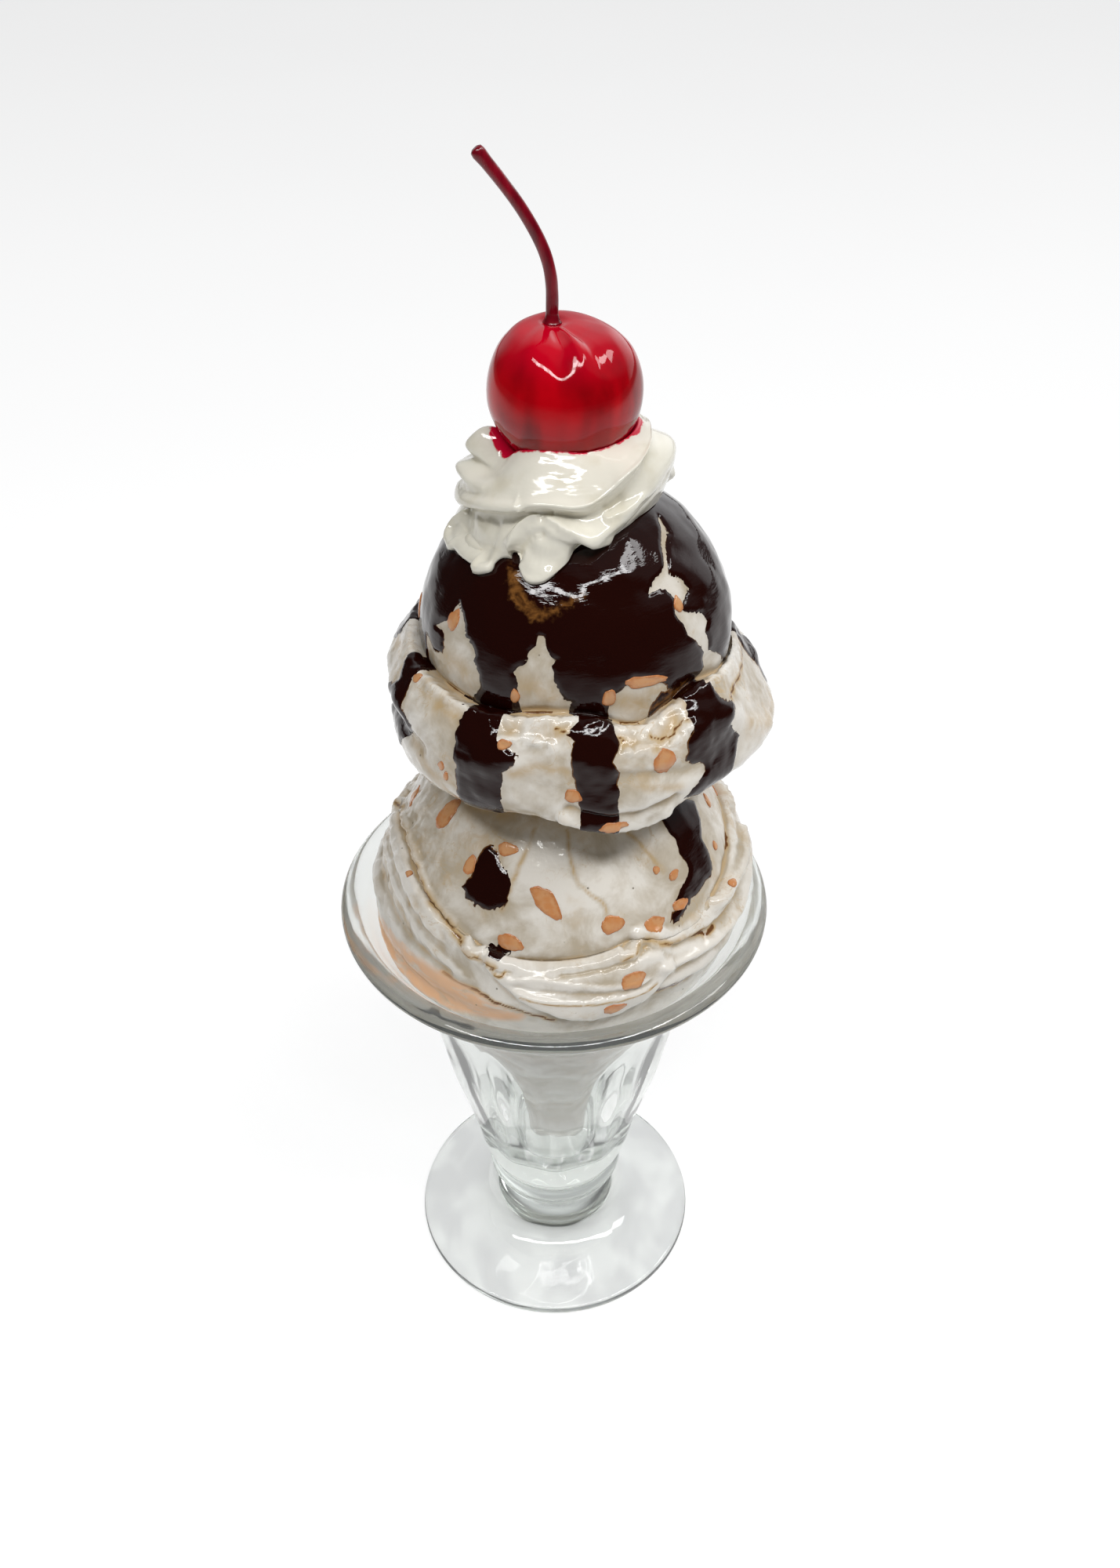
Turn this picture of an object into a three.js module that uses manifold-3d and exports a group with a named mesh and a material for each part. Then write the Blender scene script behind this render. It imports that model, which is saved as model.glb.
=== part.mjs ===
// An ice cream sundae as a glazed display copy in a real glass: two scoops with ragged skirts, whipped cream and a cherry with
// its stem, standing in a footed tulip glass with twelve flutes.
// Millimetres, +Z up. The origin is on the glass's axis, at the surface that it stands on. Azimuths are in degrees, counted
// from the front (-Y) towards the right (+X).
import * as THREE from "three";
import { mergeVertices } from "three/addons/utils/BufferGeometryUtils.js";
import Module from "manifold-3d";

const wasm = await Module();
wasm.setup();

// ---- Driving dimensions ----
const RIM_RADIUS = 50.2;
const RIM_HEIGHT = 121.8; // height of the widest circle of the lip
const FOOT_RADIUS = 37.6;
const FOOT_EDGE = 3.3; // thickness of the foot at its edge
const FLUTES = 12;
const FLUTE_DEPTH = 1.25;
const FLUTE_TURN = 1.5; // azimuth of one flute's ridge

const GAP = 0.6; // between pieces that rest on each other
const LOWER_BALL = { x: 2, height: 127.5, radius: 40 }; // the round part of the lower scoop
const UPPER_BALL = { x: 4.6, height: 195, radius: 31.5 };
const COLLAR_X = 6.1;
const CHERRY = { x: 2.3, height: 245.4, radius: 14.6 };
const CREAM_X = 2.6;

const STEM_FOOT = { x: 0.1, y: 2.5, height: 256.9 }; // the bottom of the cherry's dimple
const STEM_RADIUS = 1.15;

// Columns round the axis, and rows from pole to pole, of each lofted solid.
const GLASS_COLUMNS = 4 * FLUTES;
const SCOOP_COLUMNS = 44;
const SCOOP_ROWS = 30;
const CREAM_COLUMNS = 44;
const CREAM_ROWS = 24;
const CHERRY_COLUMNS = 24;
const CHERRY_ROWS = 13;
const STEM_SIDES = 6;
const STEM_STEPS = 14;

const radians = THREE.MathUtils.degToRad;
const smooth = (x, low, high) => THREE.MathUtils.smoothstep(x, low, high);

// ---- Curves round the axis and up the profile ----

// A value that varies smoothly round the axis through its [azimuth, value] waypoints, which are in rising order.
function ring(waypoints) {
  const count = waypoints.length;
  const at = (i) => {
    const turn = Math.floor(i / count);
    const [azimuth, value] = waypoints[i - turn * count];
    return [azimuth + 360 * turn, value];
  };
  const slope = (i) => (at(i + 1)[1] - at(i - 1)[1]) / (at(i + 1)[0] - at(i - 1)[0]);
  return (azimuth) => {
    const first = waypoints[0][0];
    const a = first + THREE.MathUtils.euclideanModulo(azimuth - first, 360);
    let i = 0;
    while (at(i + 1)[0] <= a) i++;
    const [a0, v0] = at(i);
    const [a1, v1] = at(i + 1);
    const width = a1 - a0;
    const t = (a - a0) / width;
    const t2 = t * t;
    const t3 = t2 * t;
    return (
      (2 * t3 - 3 * t2 + 1) * v0 +
      (t3 - 2 * t2 + t) * width * slope(i) +
      (3 * t2 - 2 * t3) * v1 +
      (t3 - t2) * width * slope(i + 1)
    );
  };
}

const valueAt = (value, place) => (typeof value === "function" ? value(place) : value);

// The profile through [radius, height] controls at one azimuth, each of them a number or a function of azimuth.
function profileAt(controls, azimuth) {
  const points = controls.map(
    ([radius, height]) => new THREE.Vector2(valueAt(radius, azimuth), valueAt(height, azimuth)),
  );
  return new THREE.SplineCurve(points);
}

// Height of the skin that clears a ball by GAP, at a radius and azimuth round an axis that stands beside the ball's own.
function overBall(ball, axisX, radius) {
  return (azimuth) => {
    const x = axisX + radius * Math.sin(radians(azimuth)) - ball.x;
    const y = radius * Math.cos(radians(azimuth));
    return ball.height + Math.sqrt((ball.radius + GAP) ** 2 - x * x - y * y);
  };
}

// Radius of a ball at a height, with inset taken off.
const ballRadius = (ball, height, inset = 0) =>
  Math.sqrt(ball.radius ** 2 - (height - ball.height) ** 2) - inset;

// A closed skin from the bottom pole to the top pole of the profiles, one column for each azimuth. The axis stands at axisX,
// which may vary with height. press says how far the skin is pushed out.
function loft(controls, columns, rows, axisX = 0, press = () => 0) {
  const geometry = new THREE.SphereGeometry(1, columns, rows).rotateX(Math.PI / 2);
  const position = geometry.attributes.position;
  const vertex = new THREE.Vector3();
  for (let i = 0; i < position.count; i++) {
    vertex.fromBufferAttribute(position, i);
    const fromTop = Math.acos(THREE.MathUtils.clamp(vertex.z, -1, 1)) / Math.PI;
    const along = 1 - Math.round(fromTop * rows) / rows;
    const atPole = along === 0 || along === 1;
    const azimuth = atPole ? 0 : THREE.MathUtils.radToDeg(Math.atan2(vertex.x, -vertex.y));
    const { x: radius, y: height } = profileAt(controls, azimuth).getPoint(along);
    const pushed = atPole ? 0 : radius + press(azimuth, height, along);
    const x = valueAt(axisX, height) + pushed * Math.sin(radians(azimuth));
    position.setXYZ(i, x, -pushed * Math.cos(radians(azimuth)), height);
  }
  return geometry;
}

// ---- Joining and cutting ----

function solid(geometry) {
  const bare = geometry.clone().deleteAttribute("normal").deleteAttribute("uv");
  const merged = mergeVertices(bare, 1e-4);
  return new wasm.Manifold(
    new wasm.Mesh({
      numProp: 3,
      vertProperties: merged.attributes.position.array,
      triVerts: new Uint32Array(merged.index.array),
    }),
  );
}

function geometryOf(made) {
  const mesh = made.getMesh();
  const geometry = new THREE.BufferGeometry();
  geometry.setAttribute("position", new THREE.BufferAttribute(mesh.vertProperties, 3));
  geometry.setIndex(new THREE.BufferAttribute(mesh.triVerts, 1));
  geometry.computeVertexNormals();
  return geometry;
}

// ---- Finishes ----

const finish = (color, roughness, extra = {}) =>
  new THREE.MeshStandardMaterial({ color, roughness, metalness: 0, ...extra });

const clearGlass = finish(0xdfe8e4, 0.02, { transparent: true, opacity: 0.35 });
const creamGlaze = finish(0xe3dfd4, 0.15);
const whippedGlaze = finish(0xdedacb, 0.18);
const cherryGlaze = finish(0xa8060f, 0.08);
const stemGlaze = finish(0x6e0712, 0.2);

// ---- The glass ----

// How far a flute is pressed in, from 0 at a ridge or past its ends to 1 along its middle. Each flute ends below in a round
// petal, and fades out under the flare.
function fluteShare(azimuth, height) {
  const turns = ((azimuth - FLUTE_TURN) * FLUTES) / 360;
  const across = 2 * (turns - Math.round(turns - 0.5) - 0.5);
  const petalFoot = 30 + 5 * across * across;
  return (1 - across * across) * smooth(height, petalFoot, petalFoot + 3) * (1 - smooth(height, 88, 103));
}

function glass() {
  const underside = [
    [0, 1.2],
    [27, 1.2],
    [30, 0],
    [FOOT_RADIUS - 1.4, 0],
  ];
  const footTop = [
    [FOOT_RADIUS, FOOT_EDGE / 2],
    [FOOT_RADIUS - 1.4, FOOT_EDGE],
    [28, 4.6],
    [20.5, 7.2],
    [16, 11],
    [14.8, 15.5],
    [16.2, 20],
  ];
  const bowlOutside = [
    [17.8, 23.8],
    [17.6, 27],
    [19.2, 31],
    [21, 38],
    [22.7, 46.5],
    [25.5, 58],
    [28.6, 70],
    [31, 83],
    [33.2, 95],
    [35.8, 103.5],
    [40.4, 110.5],
    [47, 117.2],
  ];
  const lip = [
    [RIM_RADIUS, RIM_HEIGHT - 0.8],
    [RIM_RADIUS - 0.4, RIM_HEIGHT + 0.2],
    [RIM_RADIUS - 2.3, RIM_HEIGHT + 0.5],
    [RIM_RADIUS - 5.3, RIM_HEIGHT - 0.4],
  ];
  const bowlInside = [
    [41, 116],
    [36.2, 110.8],
    [32.6, 105],
    [30.2, 97.5],
    [27.3, 84],
    [24.4, 70],
    [20.9, 56],
    [18, 45.5],
    [15.4, 39.5],
    [9, 35.5],
    [0, 34.5],
  ];
  const outline = [...underside, ...footTop, ...bowlOutside, ...lip, ...bowlInside];
  const points = outline.map(([radius, height]) => new THREE.Vector2(radius, height));
  const geometry = new THREE.LatheGeometry(points, GLASS_COLUMNS).rotateX(Math.PI / 2);
  const outsideRows = underside.length + footTop.length + bowlOutside.length;
  const position = geometry.attributes.position;
  for (let i = 0; i < position.count; i++) {
    const row = i % points.length;
    if (row < underside.length + footTop.length || row >= outsideRows) continue;
    const x = position.getX(i);
    const y = position.getY(i);
    const azimuth = THREE.MathUtils.radToDeg(Math.atan2(x, -y));
    const kept = 1 - (FLUTE_DEPTH * fluteShare(azimuth, position.getZ(i))) / Math.hypot(x, y);
    position.setXY(i, x * kept, y * kept);
  }
  return geometryOf(solid(geometry));
}

// ---- The scoops ----

// A fold that stands out along a line of [azimuth, height] points: its height and half-width are in millimetres.
function fold(line, height, halfWidth, radius) {
  const placed = line.map(([azimuth, z]) => new THREE.Vector2(radians(azimuth) * radius, z));
  return (azimuth, z) => {
    const here = new THREE.Vector2(radians(azimuth) * radius, z);
    let nearest = Infinity;
    for (let i = 1; i < placed.length; i++) {
      const run = placed[i].clone().sub(placed[i - 1]);
      const share = here.clone().sub(placed[i - 1]).dot(run) / run.lengthSq();
      const foot = placed[i - 1].clone().addScaledVector(run, THREE.MathUtils.clamp(share, 0, 1));
      nearest = Math.min(nearest, foot.distanceTo(here));
    }
    return height * Math.exp(-((nearest / halfWidth) ** 2));
  };
}

const atBall = (ball, height, inset) => (place) => ballRadius(ball, valueAt(height, place), inset);
const raised = (height, by) => (azimuth) => height(azimuth) + by;

// Lower scoop: a stump in the glass, a skirt that lies in the flare, and a ball.
const creaseHeight = ring([
  [-150, 136],
  [-112, 141],
  [-76, 144.5],
  [-50, 140.8],
  [-33, 137.8],
  [-18, 135.4],
  [0, 135.6],
  [13, 136.8],
  [24, 139],
  [33, 137],
  [48, 136.5],
  [72, 139.5],
  [95, 142.5],
  [135, 141],
  [170, 136],
]);
const skirtRadius = ring([
  [-150, 41.6],
  [-90, 42],
  [-60, 41.2],
  [-38, 41.4],
  [-24, 42.4],
  [-14, 43.6],
  [5, 44],
  [20, 43.9],
  [32, 43.2],
  [48, 43.6],
  [75, 43.8],
  [100, 43.8],
  [140, 42.4],
  [180, 43],
]);
const skirtEdgeHeight = ring([
  [-150, 122],
  [-90, 120],
  [-50, 119.8],
  [-24, 121],
  [-10, 125],
  [5, 124.2],
  [20, 125],
  [34, 125],
  [60, 124],
  [100, 126],
  [140, 123],
  [180, 125],
]);
const lowerAxis = (height) => LOWER_BALL.x * smooth(height, 122, 140);

const lowerControls = [
  [0, 41.5],
  [7, 41.8],
  [9, 46],
  [10.5, 53],
  [14.2, 63],
  [17.6, 74],
  [20.6, 85],
  [23.6, 95],
  [27.5, 103],
  [32, 108.4],
  [36.5, 112.8],
  [40, 117],
  [raised(skirtRadius, -0.8), skirtEdgeHeight],
  [skirtRadius, raised(skirtEdgeHeight, 3.4)],
  [raised(skirtRadius, -1.2), (azimuth) => (skirtEdgeHeight(azimuth) + 3 + creaseHeight(azimuth)) / 2],
  [atBall(LOWER_BALL, creaseHeight, -2.2), raised(creaseHeight, -1)],
  [atBall(LOWER_BALL, creaseHeight, -1), raised(creaseHeight, 0.3)],
  [atBall(LOWER_BALL, creaseHeight, 0.6), raised(creaseHeight, 0.2)],
  [atBall(LOWER_BALL, raised(creaseHeight, 3), 0), raised(creaseHeight, 3)],
  [atBall(LOWER_BALL, 150, 0), 150],
  [atBall(LOWER_BALL, 155.5, 0), 155.5],
  [atBall(LOWER_BALL, 160, 0), 160],
  [atBall(LOWER_BALL, 163.5, 0), 163.5],
  [atBall(LOWER_BALL, 166, 0), 166],
  [0, LOWER_BALL.height + LOWER_BALL.radius],
];

const skirtFolds = [
  fold([[24, 139], [33, 136.5], [48, 136.5], [62, 138], [78, 140.5], [96, 142]], 1.8, 2, 42),
  fold([[30, 131.5], [45, 129], [60, 128.5], [80, 131], [104, 134]], 1.5, 2.2, 43),
  fold([[-20, 136], [-14, 131.4], [3, 130.8], [16, 130.8], [30, 132.6]], 1.3, 1.8, 43),
  fold([[-100, 143], [-77, 146.6], [-62, 145.6], [-49, 142], [-37, 139]], 1.2, 1.8, 39),
  fold([[-150, 134], [-120, 131], [-95, 129], [-70, 127]], 1.2, 2.4, 42),
  fold([[110, 133], [140, 136], [170, 131], [200, 129]], 1.4, 2.2, 42),
];

// Upper scoop: its skirt stands round the ball as a collar, whose lip rises past the seam.
const collarRadius = ring([
  [-160, 39.6],
  [-128, 39.4],
  [-96, 40.6],
  [-80, 39.6],
  [-62, 40.6],
  [-30, 41.3],
  [-12, 40.2],
  [8, 40.8],
  [30, 40.4],
  [48, 39.4],
  [72, 40],
  [92, 40.5],
  [125, 39.4],
  [165, 40.6],
]);
const collarHeight = ring([
  [-160, 177],
  [-120, 176],
  [-90, 175.5],
  [-60, 178],
  [-25, 179],
  [5, 177.5],
  [28, 180],
  [60, 178],
  [92, 176],
  [140, 177],
]);
const collarSlope = ring([
  [-150, -0.6],
  [-110, 0.2],
  [-60, 0.6],
  [0, 0.8],
  [44, 0.6],
  [66, -1.2],
  [92, -2],
  [140, -1.6],
]); // how far the collar's upper side bulges past a straight line
const seamHeight = ring([
  [-150, 193],
  [-100, 193],
  [-59, 192.4],
  [-30, 192.6],
  [-8, 194.6],
  [6, 194],
  [20, 190.8],
  [32, 193],
  [44, 195.4],
  [66, 192.6],
  [95, 191],
  [155, 192.5],
]);
const collarDepth = ring([
  [-150, 8],
  [-90, 8.6],
  [-60, 8.4],
  [-30, 6.6],
  [-10, 5],
  [2, 5],
  [12, 7.6],
  [22, 8],
  [34, 5.6],
  [60, 6],
  [92, 7.4],
  [140, 8],
]); // from the collar's belly down to where it turns in
const lipWidth = ring([
  [-150, 1.6],
  [-110, 2],
  [-60, 3],
  [0, 2.6],
  [44, 2.4],
  [66, 1],
  [90, 0.6],
  [130, 0.9],
  [170, 1.8],
]);
const UNDER_RADII = [8, 15, 20.5];
const upperAxis = (height) => THREE.MathUtils.lerp(COLLAR_X, UPPER_BALL.x, smooth(height, 180, 196));

const upperControls = [
  [0, overBall(LOWER_BALL, COLLAR_X, 0)],
  ...UNDER_RADII.map((radius) => [radius, overBall(LOWER_BALL, COLLAR_X, radius)]),
  [26, 165],
  [31.5, 168.8],
  [raised(collarRadius, -4.4), (azimuth) => collarHeight(azimuth) - collarDepth(azimuth)],
  [raised(collarRadius, -1.2), (azimuth) => collarHeight(azimuth) - 0.6 * collarDepth(azimuth)],
  [collarRadius, collarHeight],
  [(azimuth) => collarRadius(azimuth) - 1.2 + collarSlope(azimuth) / 2, raised(collarHeight, 5)],
  [
    (azimuth) => (collarRadius(azimuth) + 33 + lipWidth(azimuth)) / 2 + collarSlope(azimuth),
    (azimuth) => (collarHeight(azimuth) + 5 + seamHeight(azimuth)) / 2 + 1,
  ],
  [raised(lipWidth, 32.6), raised(seamHeight, 0.6)],
  [raised(lipWidth, 31.2), raised(seamHeight, 1.3)],
  [(azimuth) => 31.3 + lipWidth(azimuth) / 3, raised(seamHeight, 0.3)],
  [30.8, seamHeight],
  [atBall(UPPER_BALL, raised(seamHeight, 1.8), 0.1), raised(seamHeight, 1.8)],
  [atBall(UPPER_BALL, 199, 0), 199],
  [atBall(UPPER_BALL, 204, 0), 204],
  [atBall(UPPER_BALL, 209.5, 0), 209.5],
  [atBall(UPPER_BALL, 214.5, 0), 214.5],
  [atBall(UPPER_BALL, 218.5, 0), 218.5],
  [atBall(UPPER_BALL, 222.5, 0), 222.5],
  [atBall(UPPER_BALL, 225.3, 0), 225.3],
  [0, UPPER_BALL.height + UPPER_BALL.radius],
];

const collarFolds = [
  fold([[-60, 186], [-40, 184], [-20, 187]], 0.8, 3, 41),
  fold([[-116, 188], [-100, 187.5], [-84, 187], [-66, 187.5]], 1.5, 2.8, 39),
  fold([[0, 176], [12, 174], [26, 178]], 1.2, 3, 41),
  fold([[50, 190], [60, 184], [74, 178]], 1, 2.6, 41),
];

// Nut chips, each of them [azimuth, height, tilt from level, length, width]. Those in front stand at their own places. At
// the back they are spread evenly between two azimuths and two heights, the largest first.
const CHIP_THICKNESS = 2.4;
const CHIP_SUNK = 0.5; // how far a chip's middle lies under the skin
const BACK_CHIPS = 7;
const BACK_CHIP_LENGTHS = [7.4, 4.4];
const BACK_CHIP_SLIMNESS = 0.52;

function backChips(low, high) {
  const share = (i, step) => (0.5 + i * step) % 1;
  return Array.from({ length: BACK_CHIPS }, (_, i) => {
    const length = THREE.MathUtils.lerp(...BACK_CHIP_LENGTHS, i / (BACK_CHIPS - 1));
    const azimuth = 85 + 190 * share(i, 0.618);
    return [azimuth, low + (high - low) * share(i, 0.755), 180 * share(i, 0.57), length, length * BACK_CHIP_SLIMNESS];
  });
}

const LOWER_CHIPS = [
  [-61, 156, 84, 8.2, 4.4],
  [-24, 156, 14, 4.4, 3],
  [-37.5, 151.5, 90, 4.4, 2.8],
  [-5.5, 148.3, -50, 8.8, 3.8],
  [16.5, 143.5, 8, 5.2, 3.8],
  [30.5, 140.6, 15, 5.6, 4],
  [-16.7, 139.4, -6, 5.8, 3.6],
  [42.5, 142.2, 0, 4.4, 2.6],
  [19.8, 133.5, 12, 5.8, 3.8],
  [14.2, 127.4, 8, 5.2, 3],
  ...backChips(140, 158),
];
const UPPER_CHIPS = [
  [-53, 207, 76, 4.6, 3],
  [24.5, 200.2, -8, 9.4, 3],
  [11, 198, 78, 3.8, 2.6],
  [45, 211.2, 80, 3.2, 2.2],
  [24.5, 187.4, 80, 5.4, 4.6],
  [-1, 181.6, -14, 3.4, 2.8],
  [10, 174.6, 0, 6, 2.4],
  ...backChips(186, 212),
];

// The skin's point at an azimuth and height, found from the top down, and the direction that faces out of it there.
function skinAt(controls, azimuth, height) {
  const steps = 400;
  const profile = profileAt(controls, azimuth);
  let i = steps;
  while (i > 1 && profile.getPoint(i / steps).y > height) i--;
  const here = profile.getPoint(i / steps);
  const run = profile.getPoint((i + 1) / steps).sub(profile.getPoint((i - 1) / steps)).normalize();
  const turned = (radius, z) =>
    new THREE.Vector3(radius * Math.sin(radians(azimuth)), -radius * Math.cos(radians(azimuth)), z);
  return { point: turned(here.x, here.y), out: turned(run.y, -run.x) };
}

function chip(controls, axisX, [azimuth, height, tilt, length, width]) {
  const { point, out } = skinAt(controls, azimuth, height);
  point.x += axisX(height);
  const level = new THREE.Vector3(Math.cos(radians(azimuth)), Math.sin(radians(azimuth)), 0);
  const frame = new THREE.Matrix4().makeBasis(level, out.clone().cross(level), out);
  return new THREE.SphereGeometry(0.5, 6, 4)
    .scale(length, width, CHIP_THICKNESS)
    .rotateZ(radians(tilt))
    .applyMatrix4(frame)
    .translate(...point.addScaledVector(out, -CHIP_SUNK));
}

function scoop({ controls, axisX, folds, chips, from, to }) {
  const press = (azimuth, height, along) => {
    if (along < from || along > to) return 0;
    const turned = [azimuth - 360, azimuth, azimuth + 360];
    return folds.reduce((sum, line) => sum + Math.max(...turned.map((a) => line(a, height))), 0);
  };
  const body = solid(loft(controls, SCOOP_COLUMNS, SCOOP_ROWS, axisX, press));
  return geometryOf(chips.reduce((made, at) => made.add(solid(chip(controls, axisX, at))), body));
}

// ---- Whipped cream ----

const creamEdge = ring([
  [-170, 22],
  [-130, 23.5],
  [-105, 22.4],
  [-86, 22.6],
  [-54, 22.6],
  [-42, 22.8],
  [-32, 20.4],
  [-23, 21.4],
  [-14, 23],
  [-4, 22],
  [8, 19.4],
  [30, 18.2],
  [64, 17.8],
  [100, 20],
  [140, 22],
]);
const lowFoldRadius = ring([
  [-160, 21.4],
  [-120, 21.6],
  [-86, 21.6],
  [-60, 22.2],
  [-40, 20.6],
  [-14, 21.8],
  [10, 20.4],
  [40, 19.2],
  [70, 19.4],
  [100, 21],
  [140, 21.8],
]);
const midFoldHeight = ring([
  [-160, 228],
  [-110, 227],
  [-70, 226.6],
  [-20, 226.2],
  [20, 226.6],
  [50, 228.6],
  [80, 231],
  [110, 232],
  [150, 230],
]);
const midFoldRadius = ring([
  [-150, 20.4],
  [-90, 21.2],
  [-40, 20.4],
  [0, 20.6],
  [50, 20.2],
  [90, 21],
  [140, 20.6],
]);
const wellRadius = ring([
  [-150, 14.8],
  [-100, 16.2],
  [-78, 17.4],
  [-55, 15.4],
  [0, 14.8],
  [50, 15.6],
  [85, 16.8],
  [130, 15],
]);
const wellHeight = ring([
  [-150, 237],
  [-100, 237],
  [-72, 236],
  [-40, 236.4],
  [0, 236.8],
  [45, 236.6],
  [85, 238.8],
  [130, 237.4],
]);
const UNDER_CREAM = [6, 11.5, 15.5];
const overUpper = (radius) => (azimuth) => overBall(UPPER_BALL, CREAM_X, valueAt(radius, azimuth))(azimuth);
const inCherryWell = (radius) => CHERRY.height - Math.sqrt((CHERRY.radius + GAP) ** 2 - radius ** 2);

const creamControls = [
  [0, overUpper(0)],
  ...UNDER_CREAM.map((radius) => [radius, overUpper(radius)]),
  [raised(creamEdge, -0.9), raised(overUpper(raised(creamEdge, -0.9)), 0.1)],
  [creamEdge, raised(overUpper(creamEdge), 1.5)],
  [lowFoldRadius, (azimuth) => (overUpper(creamEdge)(azimuth) + midFoldHeight(azimuth)) / 2 + 0.6],
  [raised(midFoldRadius, -2.8), raised(midFoldHeight, -1.8)],
  [midFoldRadius, raised(midFoldHeight, -0.2)],
  [raised(midFoldRadius, -0.3), raised(midFoldHeight, 1.7)],
  [raised(midFoldRadius, -2.4), raised(midFoldHeight, 3.4)],
  [raised(wellRadius, 1.6), raised(wellHeight, -2)],
  [wellRadius, wellHeight],
  [raised(wellRadius, -1.2), raised(wellHeight, -0.4)],
  [12.6, inCherryWell(12.6)],
  [10, inCherryWell(10)],
  [5.5, inCherryWell(5.5)],
  [0, inCherryWell(0)],
];

// ---- Cherry and stem ----

const cherryControls = [
  [0, CHERRY.height - CHERRY.radius],
  ...[-68, -50, -32, -15, 0, 15, 30].map((lift) => [
    CHERRY.radius * Math.cos(radians(lift)),
    CHERRY.height + CHERRY.radius * Math.sin(radians(lift)),
  ]),
  [10.6, 255.4],
  [8.4, 256.7],
  [5.8, 257.3],
  [3.2, 257.4],
  [1.6, STEM_FOOT.height + 0.1],
  [0, STEM_FOOT.height],
];

// The cherry's dimple stands beside its middle: the top's skin near the axis is shifted that way.
function cherry() {
  const geometry = loft(cherryControls, CHERRY_COLUMNS, CHERRY_ROWS);
  const position = geometry.attributes.position;
  for (let i = 0; i < position.count; i++) {
    const [x, y] = [position.getX(i), position.getY(i)];
    const share = position.getZ(i) > CHERRY.height ? 1 - smooth(Math.hypot(x, y), 1, 11) : 0;
    position.setXY(i, x + THREE.MathUtils.lerp(CHERRY.x, STEM_FOOT.x, share), y + STEM_FOOT.y * share);
  }
  return geometryOf(solid(geometry));
}

// The stem's line from just above the dimple to its tip: how far each point stands from the foot, as [x, height].
const STEM_LINE = [
  [-0.1, GAP],
  [-0.1, 4],
  [-0.3, 8],
  [-1.5, 12.6],
  [-4.6, 18.6],
  [-8.5, 24],
  [-13, 29.6],
];

function stem() {
  const line = new THREE.CatmullRomCurve3(
    STEM_LINE.map(([x, rise]) => new THREE.Vector3(STEM_FOOT.x + x, STEM_FOOT.y, STEM_FOOT.height + rise)),
  );
  const section = new THREE.Shape();
  for (let i = 0; i < STEM_SIDES; i++) {
    const turn = (2 * Math.PI * i) / STEM_SIDES;
    const [x, y] = [STEM_RADIUS * Math.cos(turn), STEM_RADIUS * Math.sin(turn)];
    if (i) section.lineTo(x, y);
    else section.moveTo(x, y);
  }
  section.closePath();
  return new THREE.ExtrudeGeometry(section, { steps: STEM_STEPS, extrudePath: line, bevelEnabled: false });
}

// ---- The sundae ----

const sundae = new THREE.Group();

function place(name, geometry, material) {
  const mesh = new THREE.Mesh(geometry, material);
  mesh.name = name;
  sundae.add(mesh);
}

const lowerScoop = {
  controls: lowerControls,
  axisX: lowerAxis,
  folds: skirtFolds,
  chips: LOWER_CHIPS,
  from: 0.5,
  to: 0.75,
};
const upperScoop = {
  controls: upperControls,
  axisX: upperAxis,
  folds: collarFolds,
  chips: UPPER_CHIPS,
  from: 0.25,
  to: 0.58,
};

place("glass", glass(), clearGlass);
place("lower_scoop", scoop(lowerScoop), creamGlaze);
place("upper_scoop", scoop(upperScoop), creamGlaze);
place("whipped_cream", geometryOf(solid(loft(creamControls, CREAM_COLUMNS, CREAM_ROWS, CREAM_X))), whippedGlaze);
place("cherry", cherry(), cherryGlaze);
place("cherry_stem", geometryOf(solid(stem())), stemGlaze);

export default sundae;
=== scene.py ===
"""The looks of an ice cream sundae: a glazed display copy, standing in a real footed glass.

Builders work in millimetres and degrees, and meshes are made in metres. An azimuth is counted from the
front (-Y) towards the right (+X). Each piece is made by an operator, and its sizes and colours are in two
property groups."""

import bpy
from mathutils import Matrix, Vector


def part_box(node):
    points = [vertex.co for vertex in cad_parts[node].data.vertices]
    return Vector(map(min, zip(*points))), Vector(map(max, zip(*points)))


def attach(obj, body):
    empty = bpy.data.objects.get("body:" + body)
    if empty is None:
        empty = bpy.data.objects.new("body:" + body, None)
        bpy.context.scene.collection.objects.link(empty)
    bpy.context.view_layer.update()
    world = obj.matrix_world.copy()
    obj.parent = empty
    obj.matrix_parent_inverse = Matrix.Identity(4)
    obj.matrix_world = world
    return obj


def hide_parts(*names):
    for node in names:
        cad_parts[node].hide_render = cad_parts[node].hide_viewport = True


bl_info = {
    "name": "Ice Cream Sundae",
    "version": (1, 0, 0),
    "blender": (4, 5, 0),
    "location": "3D View > Sidebar > Sundae",
    "description": "Builds a glazed display copy of an ice cream sundae in a tulip glass, with its stage",
    "category": "Object",
}

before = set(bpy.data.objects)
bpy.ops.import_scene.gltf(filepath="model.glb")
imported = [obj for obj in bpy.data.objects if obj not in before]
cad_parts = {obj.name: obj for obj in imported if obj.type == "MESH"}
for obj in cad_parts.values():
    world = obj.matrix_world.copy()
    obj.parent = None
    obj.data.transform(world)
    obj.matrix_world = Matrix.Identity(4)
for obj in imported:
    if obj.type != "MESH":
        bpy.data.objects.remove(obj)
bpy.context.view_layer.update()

import math
from collections import namedtuple

import bmesh
import bpy
import numpy as np
from mathutils import Matrix, Vector, noise
from mathutils.bvhtree import BVHTree

MM = 0.001
GLASS_LOW, GLASS_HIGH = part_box("glass")
CHERRY_LOW, CHERRY_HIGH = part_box("cherry")


# ---- Sizes and colours that a user would change ----


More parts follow.
